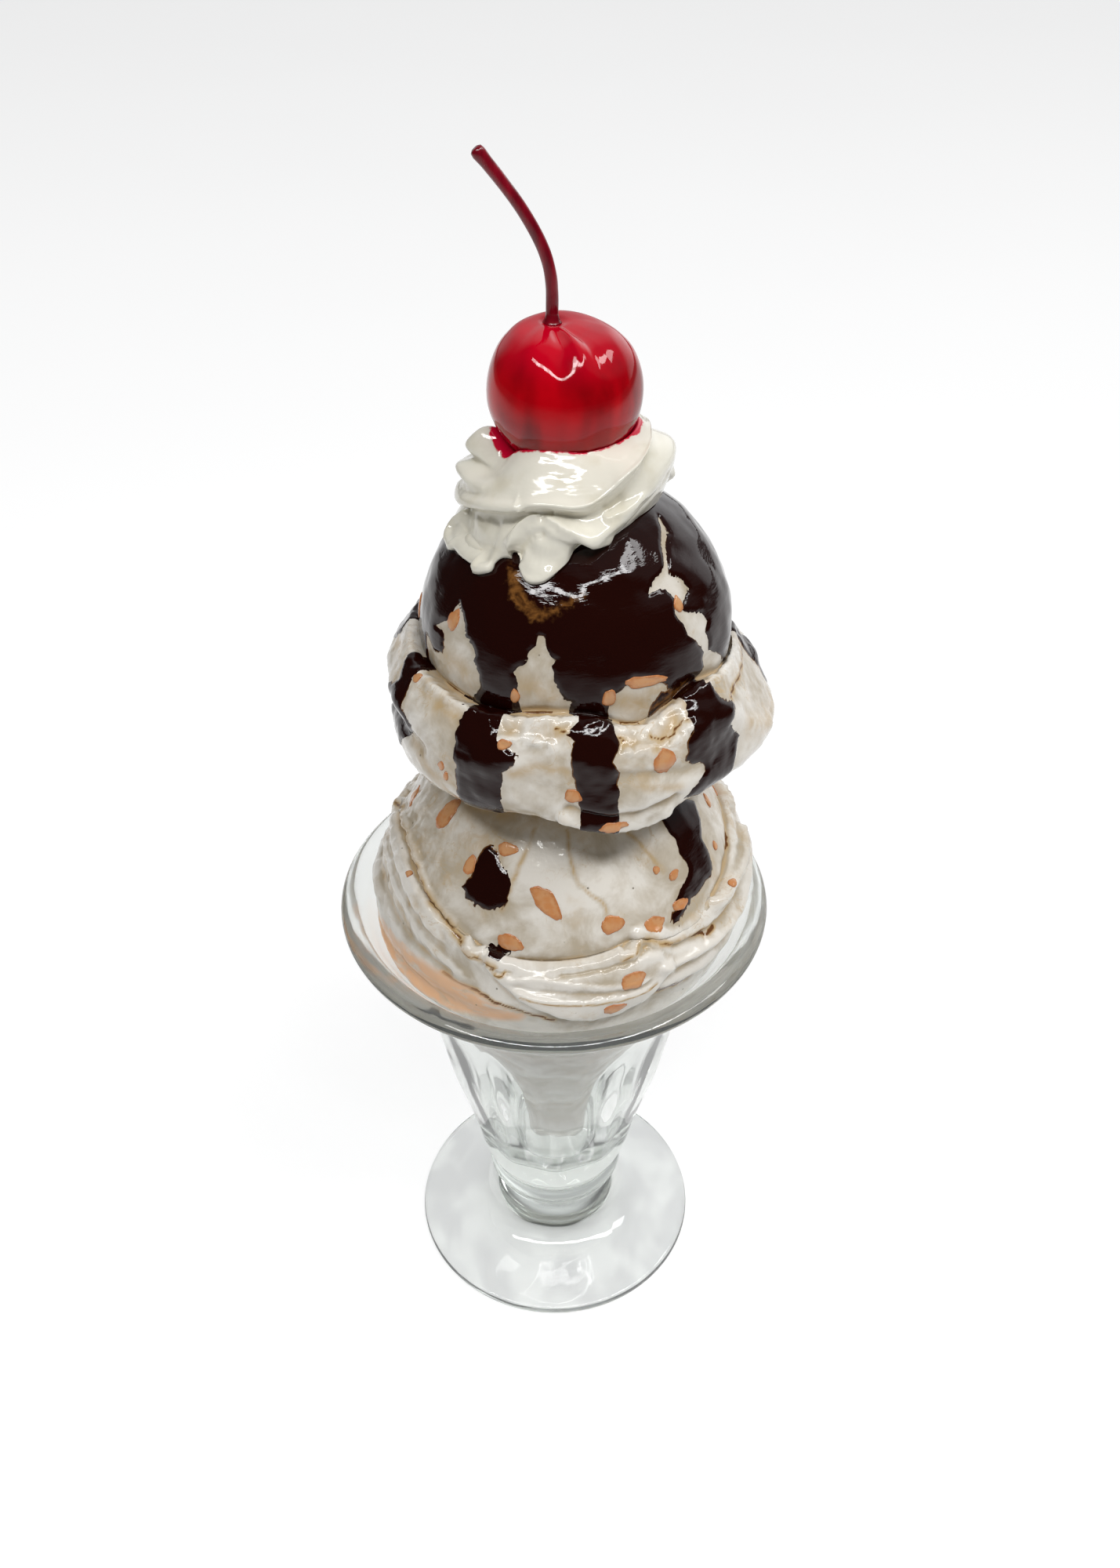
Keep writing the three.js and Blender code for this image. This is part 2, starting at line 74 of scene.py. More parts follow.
def srgb(red, green, blue):
    """A colour of 0 to 255 a channel as Blender's linear values."""
    shares = [channel / 255 for channel in (red, green, blue)]
    return tuple(s / 12.92 if s <= 0.04045 else ((s + 0.055) / 1.055) ** 2.4 for s in shares)


def length(name, description, default):
    return bpy.props.FloatProperty(
        name=name,
        description=description,
        default=default,
        min=0,
        precision=4,
        subtype="DISTANCE",
        unit="LENGTH",
    )


def colour(name, description, default):
    return bpy.props.FloatVectorProperty(
        name=name, description=description, default=default, size=3, min=0, max=1, subtype="COLOR"
    )


class SundaeSizes(bpy.types.PropertyGroup):
    """Sizes of the sundae"""

    rim_radius: length("Rim radius", "Radius of the glass at its lip", GLASS_HIGH.x - 0.05 * MM)
    rim_height: length("Rim height", "Height of the lip's widest circle", GLASS_HIGH.z - 0.5 * MM)
    foot_radius: length("Foot radius", "Radius of the glass's foot", 37.6 * MM)
    flutes: bpy.props.IntProperty(name="Flutes", description="Flutes round the glass", default=12, min=3)
    flute_depth: length("Flute depth", "How far a flute is pressed in", 0.6 * MM)
    lower_radius: length("Lower scoop radius", "Radius of the lower scoop's ball", 40 * MM)
    upper_radius: length("Upper scoop radius", "Radius of the upper scoop's ball", 31.5 * MM)
    cherry_radius: length("Cherry radius", "Radius of the cherry", (CHERRY_HIGH.x - CHERRY_LOW.x) / 2)
    stem_radius: length("Stem radius", "Radius of the cherry's stem", 1.12 * MM)
    sauce_thickness: length("Sauce thickness", "How far the sauce stands proud of the glaze", 0.32 * MM)
    chip_thickness: length("Chip thickness", "How far a nut chip stands proud of the glaze", 0.4 * MM)


class SundaeColours(bpy.types.PropertyGroup):
    """Colours of the sundae"""

    glaze: colour("Glaze", "The scoops' glaze where it is thick", srgb(226, 221, 212))
    # Also painted shade: the scoops' hollows are drawn towards this colour, and their ridges away from it.
    worn_and_shade: colour("Thin glaze", "The scoops' glaze where the clay shows through", srgb(184, 172, 152))
    # Besides real tan stains, this colour is painted into the hollows and under the upper scoop's collar as
    # shade.
    stain: colour("Stain", "Tan stains in the glaze", srgb(188, 160, 116))
    peach: colour("Peach", "The smear that is pressed against the glass", srgb(236, 190, 150))
    sauce: colour("Sauce", "Thick chocolate sauce", srgb(30, 6, 3))
    thin_sauce: colour("Thin sauce", "Sauce where it is thin", srgb(134, 88, 42))
    nut: colour("Nut", "The middle of a nut chip", srgb(202, 150, 104))
    nut_edge: colour("Nut edge", "The edge of a nut chip", srgb(178, 112, 66))
    cream: colour("Cream", "The whipped cream's glaze", srgb(231, 227, 213))
    cherry: colour("Cherry", "The cherry's glaze", srgb(190, 0, 16))
    # The deep red is also painted shade on the cherry's lower half.
    cherry_dark_and_shade: colour("Cherry shade", "The cherry's glaze where it is deep", srgb(116, 0, 6))
    # A painted reflection: the bright room's sheen on the cherry's top.
    cherry_painted_sheen: colour("Cherry bloom", "The cherry's glaze round its top", srgb(194, 4, 38))
    stem: colour("Stem", "The stem's glaze", srgb(96, 4, 20))
    glass: colour("Glass", "Tint of the glass", srgb(208, 217, 206))
    floor: colour("Floor", "The pale floor", srgb(176, 176, 176))


# ---- Curves round the axis and up the profile ----


def smooth(value, low, high):
    """0 below low, 1 above high and a smooth rise between them."""
    share = np.clip((np.asarray(value, float) - low) / (high - low), 0, 1)
    return share * share * (3 - 2 * share)


def mix(low, high, share):
    return low + (high - low) * share


def ring(*waypoints):
    """A value that varies smoothly round the axis, through (azimuth, value) waypoints in rising order."""
    azimuths, values = np.array(waypoints, float).T
    turned = np.concatenate([azimuths - 360, azimuths, azimuths + 360])
    thrice = np.tile(values, 3)
    slopes = (thrice[2:] - thrice[:-2]) / (turned[2:] - turned[:-2])

    def at(azimuth):
        place = azimuths[0] + np.mod(azimuth - azimuths[0], 360)
        i = np.searchsorted(turned, place, side="right") - 1
        width = turned[i + 1] - turned[i]
        t = (place - turned[i]) / width
        start = (2 * t**3 - 3 * t**2 + 1) * thrice[i] + (t**3 - 2 * t**2 + t) * width * slopes[i - 1]
        return start + (3 * t**2 - 2 * t**3) * thrice[i + 1] + (t**3 - t**2) * width * slopes[i]

    return at


def raised(value, by):
    """A value round the axis with an amount added."""
    return lambda azimuth: value_at(value, azimuth) + by


def value_at(value, azimuth):
    return value(azimuth) if callable(value) else np.full(np.shape(azimuth), float(value))


def catmull(knots, places):
    """Points on the Catmull-Rom curve through knots, at places counted in knots."""
    knots = np.asarray(knots, float)
    i = np.clip(np.floor(places).astype(int), 0, len(knots) - 2)
    t = (places - i).reshape((-1,) + (1,) * (knots.ndim - 1))
    p0, p1, p2, p3 = (knots[np.clip(i + step, 0, len(knots) - 1)] for step in (-1, 0, 1, 2))
    v0 = (p2 - p0) / 2
    v1 = (p3 - p1) / 2
    return (2 * (p1 - p2) + v0 + v1) * t**3 + (3 * (p2 - p1) - 2 * v0 - v1) * t**2 + v0 * t + p1


def profiles(controls, azimuths, places):
    """Radii and heights, rows by columns, of the profiles through the (radius, height) controls."""
    knots = [[value_at(radius, azimuths), value_at(height, azimuths)] for radius, height in controls]
    curve = catmull(knots, places)
    return curve[:, 0], curve[:, 1]


def finer_above(level, rest):
    """A fineness of 1 above a level and of rest below it, for rows that lie closer together above."""
    return lambda height: np.where(height > level, 1.0, rest)


PROFILE_STEPS = 2400  # steps in which a profile's run is measured
SAMPLED_AZIMUTHS = np.arange(0, 360, 15.0)  # where profiles are taken for their mean


def row_places(controls, rows, fineness):
    """Where rows lie along the controls: evenly on the mean profile, but closer where fineness is high."""
    fine = np.linspace(0, len(controls) - 1, PROFILE_STEPS)
    radius, height = (values.mean(axis=1) for values in profiles(controls, SAMPLED_AZIMUTHS, fine))
    steps = np.hypot(np.diff(radius), np.diff(height)) * value_at(fineness, height[1:])
    run = np.concatenate([[0], np.cumsum(steps)])
    return np.interp(np.linspace(0, run[-1], rows), run, fine)


# ---- Skins: closed lofted surfaces that are then worked ----

Fold = namedtuple("Fold", "line lift above below crust droop", defaults=(0, 0))


class Skin:
    """A closed skin in millimetres: rows from the bottom pole to the top one, and columns round the axis."""

    def __init__(self, controls, columns, rows, axis_x=0, fineness=1):
        azimuths = np.arange(columns) * 360 / columns
        self.places = row_places(controls, rows, fineness)
        radius, height = profiles(controls, azimuths, self.places)
        self.azimuth = np.broadcast_to(azimuths, radius.shape)
        self.fields = {}
        turn = np.radians(self.azimuth)
        across = value_at(axis_x, height) + radius * np.sin(turn)
        self.points = np.stack([across, -radius * np.cos(turn), height], axis=-1)
        inner = np.minimum(np.arange(rows), np.arange(rows)[::-1])
        self.held = smooth(inner, 0, 3)[:, None]

    def normals(self):
        """Directions that face out of the skin."""
        across = np.roll(self.points, -1, axis=1) - np.roll(self.points, 1, axis=1)
        facing = np.cross(across, np.gradient(self.points, axis=0))
        return facing / np.maximum(np.linalg.norm(facing, axis=-1, keepdims=True), 1e-9)

    def press(self, amount):
        """Moves the skin out by an amount at each point, in millimetres. The poles stay."""
        self.points = self.points + self.normals() * (amount * self.held)[..., None]

    def roughen(self, depth, size, seed, share=1, octaves=3):
        """Gives the skin lumps of a depth and size, as far as share says at each point."""
        self.press(depth * fractal(self.points, size, octaves, seed) * share)

    def on_skin(self, azimuth, height):
        """The point at an azimuth and height, found from the top down."""
        columns = self.points.shape[1]
        column = round(azimuth / 360 * columns) % columns
        below = np.nonzero(self.points[::-1, column, 2] <= height)[0]
        row = self.points.shape[0] - 1 - (below[0] if len(below) else 0)
        return self.points[row, column]

    def drawn(self, line, closed=False, finer=5):
        """A line of (azimuth, height) points as a smooth run of points that lie on the skin."""
        knots = np.array(line + line[:1] if closed else line, float)
        if closed:
            shares = np.arange(0, 1, 1 / finer)
            steps = [mix(start, end, share) for start, end in zip(knots, knots[1:]) for share in shares]
            stops = steps + [knots[-1]]
        else:
            stops = catmull(knots, np.linspace(0, len(knots) - 1, finer * (len(knots) - 1) + 1))
        return np.array([self.on_skin(azimuth, height) for azimuth, height in stops])

    def near(self, path, reach):
        """Indices of the points that lie within reach of a path's box."""
        low, high = path.min(axis=0) - reach, path.max(axis=0) + reach
        return np.nonzero(np.all((self.points > low) & (self.points < high), axis=-1))

    def to_path(self, path, where, normals=None):
        """Distance of the points at where from a path, and their side of it.

        The side is positive above a path that is drawn rightwards."""
        points = self.points[where]
        facing = (self.normals() if normals is None else normals)[where]
        best = np.full(len(points), np.inf)
        side = np.zeros(len(points))
        for start, end in zip(path[:-1], path[1:]):
            run = end - start
            share = np.clip(((points - start) @ run) / max(run @ run, 1e-9), 0, 1)
            away = points - start - share[:, None] * run
            distance = np.linalg.norm(away, axis=1)
            nearer = distance < best
            best[nearer] = distance[nearer]
            upward = np.cross(facing[nearer], run)
            side[nearer] = np.sign(np.einsum("ij,ij->i", away[nearer], upward))
        return best, side

    def carve(self, folds):
        """Presses folds out, or grooves in where lift is negative, with their reach above and below."""
        normals = self.normals()
        amount = np.zeros(self.points.shape[:2])
        drop = np.zeros(self.points.shape[:2])
        for fold in folds:
            path = self.drawn(list(fold.line))
            where = self.near(path, 3 * max(fold.above, fold.below))
            distance, side = self.to_path(path, where, normals)
            share = np.exp(-((distance / np.where(side > 0, fold.above, fold.below)) ** 2))
            amount[where] += fold.lift * share
            if fold.crust:
                amount[where] += fold.crust * share * fractal(self.points[where], 1.3, seed=3)
            drop[where] += fold.droop * share
        self.press(amount)
        self.points[..., 2] -= drop * self.held

    def inside(self, outline, margin=6):
        """Distance in millimetres from a closed outline of (azimuth, height) points: positive inside it."""
        path = self.drawn(list(outline), closed=True, finer=2)
        where = self.near(path, margin)
        distance, _ = self.to_path(path, where)
        middle = outline[0][0]
        azimuth = middle + np.mod(self.azimuth[where] - middle + 180, 360) - 180
        height = self.points[where][:, 2]
        within = np.zeros(len(azimuth), bool)
        for (a0, h0), (a1, h1) in zip(outline, list(outline[1:]) + [outline[0]]):
            crosses = (h0 > height) != (h1 > height)
            reached = a0 + (height - h0) / (h1 - h0 if h1 != h0 else 1e-9) * (a1 - a0)
            within ^= crosses & (azimuth < reached)
        field = np.full(self.points.shape[:2], -float(margin))
        field[where] = np.where(within, distance, -np.minimum(distance, margin))
        return field

    def hollows(self, rounds=12):
        """How deep each point lies in a hollow, in millimetres: negative on a ridge."""
        soft = self.points.copy()
        for _ in range(rounds):
            soft = (np.roll(soft, 1, axis=1) + np.roll(soft, -1, axis=1) + 2 * soft) / 4
            soft[1:-1] = (soft[:-2] + soft[2:] + 2 * soft[1:-1]) / 4
        return np.einsum("ijk,ijk->ij", soft - self.points, self.normals()) * self.held

    def mesh(self, name):
        """A mesh with the fields as attributes: a sheet that is wrapped round and closed at the poles."""
        rows, columns = self.points.shape[:2]
        sheet = bmesh.new()
        layers = [(sheet.verts.layers.float.new(field), values) for field, values in self.fields.items()]
        bmesh.ops.create_grid(sheet, x_segments=columns, y_segments=rows - 1, size=1)
        seam = []
        for vert in sheet.verts:
            turn = round((vert.co.x + 1) / 2 * columns)
            row = round((vert.co.y + 1) / 2 * (rows - 1))
            column = turn % columns
            if turn in (0, columns) or row in (0, rows - 1):
                seam.append(vert)
            vert.co = self.points[row, column] * MM
            for layer, values in layers:
                vert[layer] = values[row, column]
        bmesh.ops.remove_doubles(sheet, verts=seam, dist=1e-7)
        mesh = bpy.data.meshes.new(name)
        sheet.to_mesh(mesh)
        sheet.free()
        mesh.shade_smooth()
        return mesh


def fractal(points, size, octaves=3, seed=0):
    """Fractal noise of about -1 to 1 at points, whose largest lumps are about size across."""
    offset = Vector((seed * 17.3, seed * 5.1, seed * 11.7))
    flat = np.reshape(points, (-1, 3)) / size
    values = [noise.fractal(Vector(point) + offset, 1.0, 2.0, octaves) for point in flat]
    return np.array(values).reshape(np.shape(points)[:-1])


def piece(name, mesh, material, slot, *nodes):
    """Puts a finished mesh in the scene: it rides on the one body and stands for its CAD nodes."""
    mesh.materials.clear()
    mesh.materials.append(material)
    made = bpy.data.objects.new(name, mesh)
    bpy.context.scene.collection.objects.link(made)
    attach(made, "root")
    if nodes:
        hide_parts(*nodes)
    return made


# ---- Shader nodes ----


def put(tree, kind, values=None, **settings):
    """Adds a shader node, with its settings, and links or sets its inputs."""
    made = tree.nodes.new("ShaderNode" + kind)
    for key, value in settings.items():
        setattr(made, key, value)
    for socket, value in (values or {}).items():
        if isinstance(value, bpy.types.NodeSocket):
            tree.links.new(value, made.inputs[socket])
        else:
            made.inputs[socket].default_value = value
    return made


def new_material(name):
    """An empty material with a Principled shader: its tree, its shader and its object coordinates."""
    material = bpy.data.materials.new(name)
    material.use_nodes = True
    tree = material.node_tree
    tree.nodes.clear()
    shader = put(tree, "BsdfPrincipled")
    put(tree, "OutputMaterial", {"Surface": shader.outputs[0]})
    where = put(tree, "TexCoord").outputs["Object"]
    return material, tree, shader, where


def rgba(tint):
    return (*tint, 1.0)


def noise_at(tree, where, scale, detail=3.0, roughness=0.5, distortion=0.0):
    values = {"Vector": where, "Scale": scale, "Detail": detail}
    values |= {"Roughness": roughness, "Distortion": distortion}
    return put(tree, "TexNoise", values).outputs[0]


def stepped(tree, value, low, high, out_low=0.0, out_high=1.0):
    values = {"Value": value, "From Min": low, "From Max": high, "To Min": out_low, "To Max": out_high}
    return put(tree, "MapRange", values, interpolation_type="SMOOTHSTEP").outputs[0]


def maths(tree, operation, first, second=0.0, clamp=False):
    made = put(tree, "Math", {0: first, 1: second}, operation=operation)
    made.use_clamp = clamp
    return made.outputs[0]


def tinted(tree, factor, first, second):
    return put(tree, "Mix", {0: factor, 6: first, 7: second}, data_type="RGBA").outputs[2]


def attribute(tree, name):
    return put(tree, "Attribute", attribute_name=name).outputs["Fac"]


def stretched(tree, where, scale):
    return put(tree, "Mapping", {"Vector": where, "Scale": scale}).outputs[0]


def height_of(tree, where):
    return put(tree, "SeparateXYZ", {0: where}).outputs[2]


def centred(tree, value):
    """A noise's value with its middle moved to 0."""
    return maths(tree, "SUBTRACT", value, 0.5)


def bumped(tree, height, distance, under=None):
    values = {"Height": height, "Distance": distance, "Strength": 1.0}
    if under is not None:
        values["Normal"] = under
    return put(tree, "Bump", values).outputs[0]


# ---- The glass ----

GLASS_COLUMNS = 240
ROUNDING = 4  # steps of the profile between two of its points

# Outlines of the glass, from the bottom's middle up the outside, over the lip and down the inside, as
# (radius, height). The points of the foot's edge and of the lip are worked out from their sizes.
UNDER_FOOT = [(0, 1.2), (12, 1.2), (22, 1.0), (28, 0.5), (31.5, 0.12), (33, 0.05)]
FOOT_TO_BOWL = [
    (33.5, 3.7),
    (28, 4.7),
    (23.2, 5.9),
    (19.4, 7.9),
    (16.9, 11),
    (15.6, 14),
    (15, 16.2),
    (15.1, 18),
]
STEM_BEAD = [(16, 19.7), (17.3, 21.3), (18, 23.2), (17.9, 25.6), (17.5, 27.2)]
BOWL_OUTSIDE = [
    (18, 29.2),
    (19.2, 31.6),
    (21, 38),
    (22.7, 46.5),
    (25.5, 58),
    (28.6, 70),
    (31, 83),
    (33.2, 95),
    (35.8, 103.5),
    (40.4, 110.5),
    (46.2, 116.4),
    (48.9, 119),
]
BOWL_INSIDE = [
    (41.6, 116.6),
    (36.2, 110.8),
    (32.6, 105),
    (30.2, 97.5),
    (27.3, 84),
    (24.4, 70),
    (20.9, 56),
    (18, 45.5),
    (15.4, 39.5),
    (12.4, 36.6),
    (8.4, 35.1),
    (0, 34.5),
]
FLUTE_TURN = 1.5  # azimuth of one flute's ridge
FLUTE_FOOT = 30  # height of a flute's lowest point
FLUTE_PETAL = 5  # how much higher a flute starts at its ridges
FLUTE_ENTRY = 15  # the height in which a flute gains its depth
FLUTE_END = (84, 103)  # heights between which a flute fades out
BOWL_WALL = (28, 104)  # heights between which the outside carries the flutes
FOOT_TOP = (2.5, 9)  # heights of the foot's top, from its edge to the stem
WAVE_DEPTH = 0.18
WAVE_RADII = (23, 36)  # where the waves on the foot's top start and end


def flute_share(azimuth, height, flutes):
    """How far a flute is pressed in, from 0 at a ridge or past its ends to 1 along its middle."""
    turns = (azimuth - FLUTE_TURN) * flutes / 360
    across = 2 * (turns - math.floor(turns) - 0.5)
    petal_foot = FLUTE_FOOT + FLUTE_PETAL * across**2
    hollow = math.cos(across * math.pi / 2) ** 1.5
    entered = smooth(height, petal_foot, petal_foot + FLUTE_ENTRY)
    return hollow * entered * (1 - smooth(height, *FLUTE_END))


def lip_outline(rim_radius, rim_height):
    """The lip's round edge and flat top, from the outside in."""
    return [
        (rim_radius - 0.2, rim_height - 1.8),
        (rim_radius, rim_height - 1.1),
        (rim_radius - 0.35, rim_height - 0.45),
        (rim_radius - 1.0, rim_height + 0.1),
        (rim_radius - 1.8, rim_height + 0.45),
        (rim_radius - 3.0, rim_height + 0.45),
        (rim_radius - 4.6, rim_height - 0.1),
        (rim_radius - 6, rim_height - 1.5),
    ]


def glass_outline(sizes):
    rim_radius, rim_height, foot = sizes.rim_radius / MM, sizes.rim_height / MM, sizes.foot_radius / MM
    foot_edge = [(foot - 1.6, 0.05), (foot - 0.5, 0.45), (foot, 1.6), (foot - 0.45, 2.75), (foot - 1.6, 3.2)]
    outside = FOOT_TO_BOWL + STEM_BEAD + BOWL_OUTSIDE
    return UNDER_FOOT + foot_edge + outside + lip_outline(rim_radius, rim_height) + BOWL_INSIDE


def foot_wave(azimuth, radius):
    """The foot's top isn't quite even: rays of shallow waves run out from the stem."""
    turn = math.radians(azimuth)
    rays = math.sin(13 * turn + 0.12 * radius) + 0.6 * math.sin(7 * turn - 0.2 * radius)
    start, end = WAVE_RADII
    return WAVE_DEPTH * rays * math.sin(math.pi * min(max((radius - start) / (end - start), 0), 1))


def wall_middle(height):
    """The radius half way through the bowl's wall at a height."""
    inner_radii, inner_heights = np.array(BOWL_INSIDE[::-1]).T
    outer_radii, outer_heights = np.array(STEM_BEAD + BOWL_OUTSIDE).T
    inner = np.interp(height, inner_heights, inner_radii)
    return (inner + np.interp(height, outer_heights, outer_radii)) / 2


def glass_mesh(sizes):
    outline = glass_outline(sizes)
    curve = catmull(outline, np.linspace(0, len(outline) - 1, ROUNDING * (len(outline) - 1) + 1))
    curve[[0, -1], 0] = 0
    lathe = bmesh.new()
    verts = [lathe.verts.new((max(radius, 0) * MM, 0, height * MM)) for radius, height in curve]
    edges = [lathe.edges.new(pair) for pair in zip(verts[:-1], verts[1:])]
    bmesh.ops.spin(
        lathe,
        geom=verts + edges,
        cent=(0, 0, 0),
        axis=(0, 0, 1),
        angle=2 * math.pi,
        steps=GLASS_COLUMNS,
        use_merge=True,
    )
    bmesh.ops.remove_doubles(lathe, verts=lathe.verts, dist=1e-6)
    bmesh.ops.recalc_face_normals(lathe, faces=lathe.faces)
    depth = sizes.flute_depth / MM
    for vert in lathe.verts:
        height = vert.co.z / MM
        radius = math.hypot(vert.co.x, vert.co.y) / MM
        azimuth = math.degrees(math.atan2(vert.co.x, -vert.co.y))
        if FOOT_TOP[0] < height < FOOT_TOP[1] and radius > WAVE_RADII[0]:
            vert.co.z += foot_wave(azimuth, radius) * MM
        elif BOWL_WALL[0] < height < BOWL_WALL[1] and radius > wall_middle(height):
            kept = 1 - depth * float(flute_share(azimuth, height, sizes.flutes)) / radius
            vert.co.x *= kept
            vert.co.y *= kept
    mesh = bpy.data.meshes.new("glass_clear")
    lathe.to_mesh(mesh)
    lathe.free()
    mesh.shade_smooth()
    return mesh


CLEAR = (0.95, 0.965, 0.955)
# The foot's painted shade: a grey that stands in for the shadows and caustics seen through the foot.
FOOT_PAINTED_SHADE = (0.84, 0.85, 0.85)


def glass_material(colours):
    """Clear glass with a tint that grows with its depth, and painted shade on the foot: grey mottles that
    stand in for the shadows and caustics seen through it.
    """
    material, tree, shader, where = new_material("clear pressed glass")
    # Painted shade on the foot: noise mottles that stand in for the shadows and caustics seen through the
    # glass.
    level = stretched(tree, where, (1.0, 1.0, 0.0))
    mottle = stepped(tree, noise_at(tree, level, 75.0, 2.0, 0.5, 0.4), 0.36, 0.62)
    low = stepped(tree, height_of(tree, where), 0.012, 0.006)
    grey = maths(tree, "MULTIPLY", mottle, low)
    clear = tinted(tree, grey, rgba(CLEAR), rgba(FOOT_PAINTED_SHADE))
    tree.links.new(clear, shader.inputs["Base Color"])
    shader.inputs["Transmission Weight"].default_value = 0.93
    shader.inputs["IOR"].default_value = 1.5
    smears = stepped(tree, noise_at(tree, where, 60.0, 4.0), 0.45, 0.8, 0.0, 0.03)
    tree.links.new(smears, shader.inputs["Roughness"])
    ripples = noise_at(tree, stretched(tree, where, (1.0, 1.0, 0.5)), 110.0, 1.0)
    tree.links.new(bumped(tree, ripples, 0.00012), shader.inputs["Normal"])
    depth = put(tree, "VolumeAbsorption", {"Color": rgba(colours.glass), "Density": 13.0})
    output = next(n for n in tree.nodes if n.type == "OUTPUT_MATERIAL")
    tree.links.new(depth.outputs[0], output.inputs["Volume"])
    return material


# ---- The scoops' form ----

GAP = 0.6  # between pieces that rest on each other
LOWER_X = 2  # the middles of the two balls, and of the collar round the upper one
LOWER_HEIGHT = 127.5
UPPER_X = 4.6
UPPER_HEIGHT = 195
COLLAR_X = 6.1
SCOOP_COLUMNS = 440
SCOOP_ROWS = 222

Ball = namedtuple("Ball", "x height radius")


def at_ball(ball, height, inset=0):
    """A ball's radius at a height, which may vary round the axis, with inset taken off."""
    return lambda azimuth: np.sqrt(ball.radius**2 - (value_at(height, azimuth) - ball.height) ** 2) - inset


def over_ball(ball, axis_x, radius):
    """Height of the skin that clears a ball by GAP, at a radius round an axis beside the ball's own."""

    def at(azimuth):
        turn = np.radians(azimuth)
        across = axis_x + value_at(radius, azimuth) * np.sin(turn) - ball.x
        along = value_at(radius, azimuth) * np.cos(turn)
        return ball.height + np.sqrt((ball.radius + GAP) ** 2 - across**2 - along**2)

    return at


def partway(first, second, share, add=0.0):
    """A share of the way between two values round the axis, with an amount added."""

    def at(azimuth):
        return mix(value_at(first, azimuth), value_at(second, azimuth), share) + value_at(add, azimuth)

    return at


def between(first, second, add=0.0):
    return partway(first, second, 0.5, add)


crease_height = ring(
    (-150, 136), (-112, 141), (-76, 144.5), (-50, 140.8), (-33, 137.8), (-18, 135.4), (0, 135.6),
    (13, 136.8), (24, 139), (33, 137), (48, 136.5), (72, 139.5), (95, 142.5), (135, 141), (170, 136),
)
skirt_radius = ring(
    (-150, 41.6), (-90, 42), (-60, 41.2), (-38, 41.4), (-24, 42.4), (-14, 43.6), (5, 44), (20, 43.9),
    (32, 43.2), (48, 43.6), (75, 43.8), (100, 43.8), (140, 42.4), (180, 43),
)
skirt_edge_height = ring(
    (-150, 122), (-90, 120), (-50, 119.8), (-24, 121), (-10, 125), (5, 124.2), (20, 125), (34, 125),
    (60, 124), (100, 126), (140, 123), (180, 125),
)


def lower_axis(height):
    return LOWER_X * smooth(height, 122, 140)


def lower_controls(ball):
    """Controls of the lower scoop: a stump in the glass, a skirt that lies in the flare, and a ball."""
    return [
        (0, 41.5),
        (7, 41.8),
        (9, 46),
        (10.5, 53),
        (14.2, 63),
        (17.6, 74),
        (20.6, 85),
        (24, 95),
        (28.6, 101),
        (33, 105),
        (36.7, 110.8),
        (40.2, 114.8),
        (41.7, 117.6),
        (raised(skirt_radius, -0.6), skirt_edge_height),
        (skirt_radius, raised(skirt_edge_height, 3.4)),
        (raised(skirt_radius, -1.2), between(raised(skirt_edge_height, 3), crease_height)),
        (at_ball(ball, crease_height, -2.2), raised(crease_height, -1)),
        (at_ball(ball, crease_height, -1), raised(crease_height, 0.3)),
        (at_ball(ball, crease_height, 0.6), raised(crease_height, 0.2)),
        (at_ball(ball, raised(crease_height, 3)), raised(crease_height, 3)),
        *((at_ball(ball, height), height) for height in (150, 155.5, 160, 163.5, 166)),
        (0, ball.height + ball.radius),
    ]


collar_radius = ring(
    (-160, 39.6), (-128, 39.4), (-96, 40.6), (-80, 39.6), (-62, 40.6), (-30, 41.3), (-12, 40.2),
    (8, 40.8), (30, 40.4), (48, 39.4), (72, 40), (92, 40.5), (125, 39.4), (165, 40.6),
)
collar_height = ring(
    (-160, 177), (-120, 176), (-90, 175.5), (-60, 178), (-25, 179), (5, 177.5), (28, 180), (60, 178),
    (92, 176), (140, 177),
)
collar_slope = ring(
    (-150, -0.6), (-110, 0.2), (-60, 0.6), (0, 0.8), (44, 0.6), (66, -1.2), (92, -2), (140, -1.6),
)
seam_height = ring(
    (-150, 193), (-100, 193), (-59, 192.4), (-30, 192.6), (-8, 194.6), (6, 194), (20, 190.8), (32, 193),
    (44, 195.4), (66, 192.6), (95, 191), (155, 192.5),
)
collar_depth = ring(
    (-150, 8), (-90, 8.6), (-60, 8.4), (-30, 6.6), (-10, 5), (2, 5), (12, 7.6), (22, 8), (34, 5.6),
    (60, 6), (92, 7.4), (140, 8),
)
lip_width = ring(
    (-150, 1.6), (-110, 2), (-60, 3), (0, 2.6), (44, 2.4), (66, 1), (90, 0.6), (130, 0.9), (170, 1.8),
)


def upper_axis(height):
    return mix(COLLAR_X, UPPER_X, smooth(height, 180, 196))


# Which of the upper scoop's controls lie on the collar's lip and at the bottom of the crease behind it.
LIP_CONTROL = 12
SEAM_CONTROL = 14


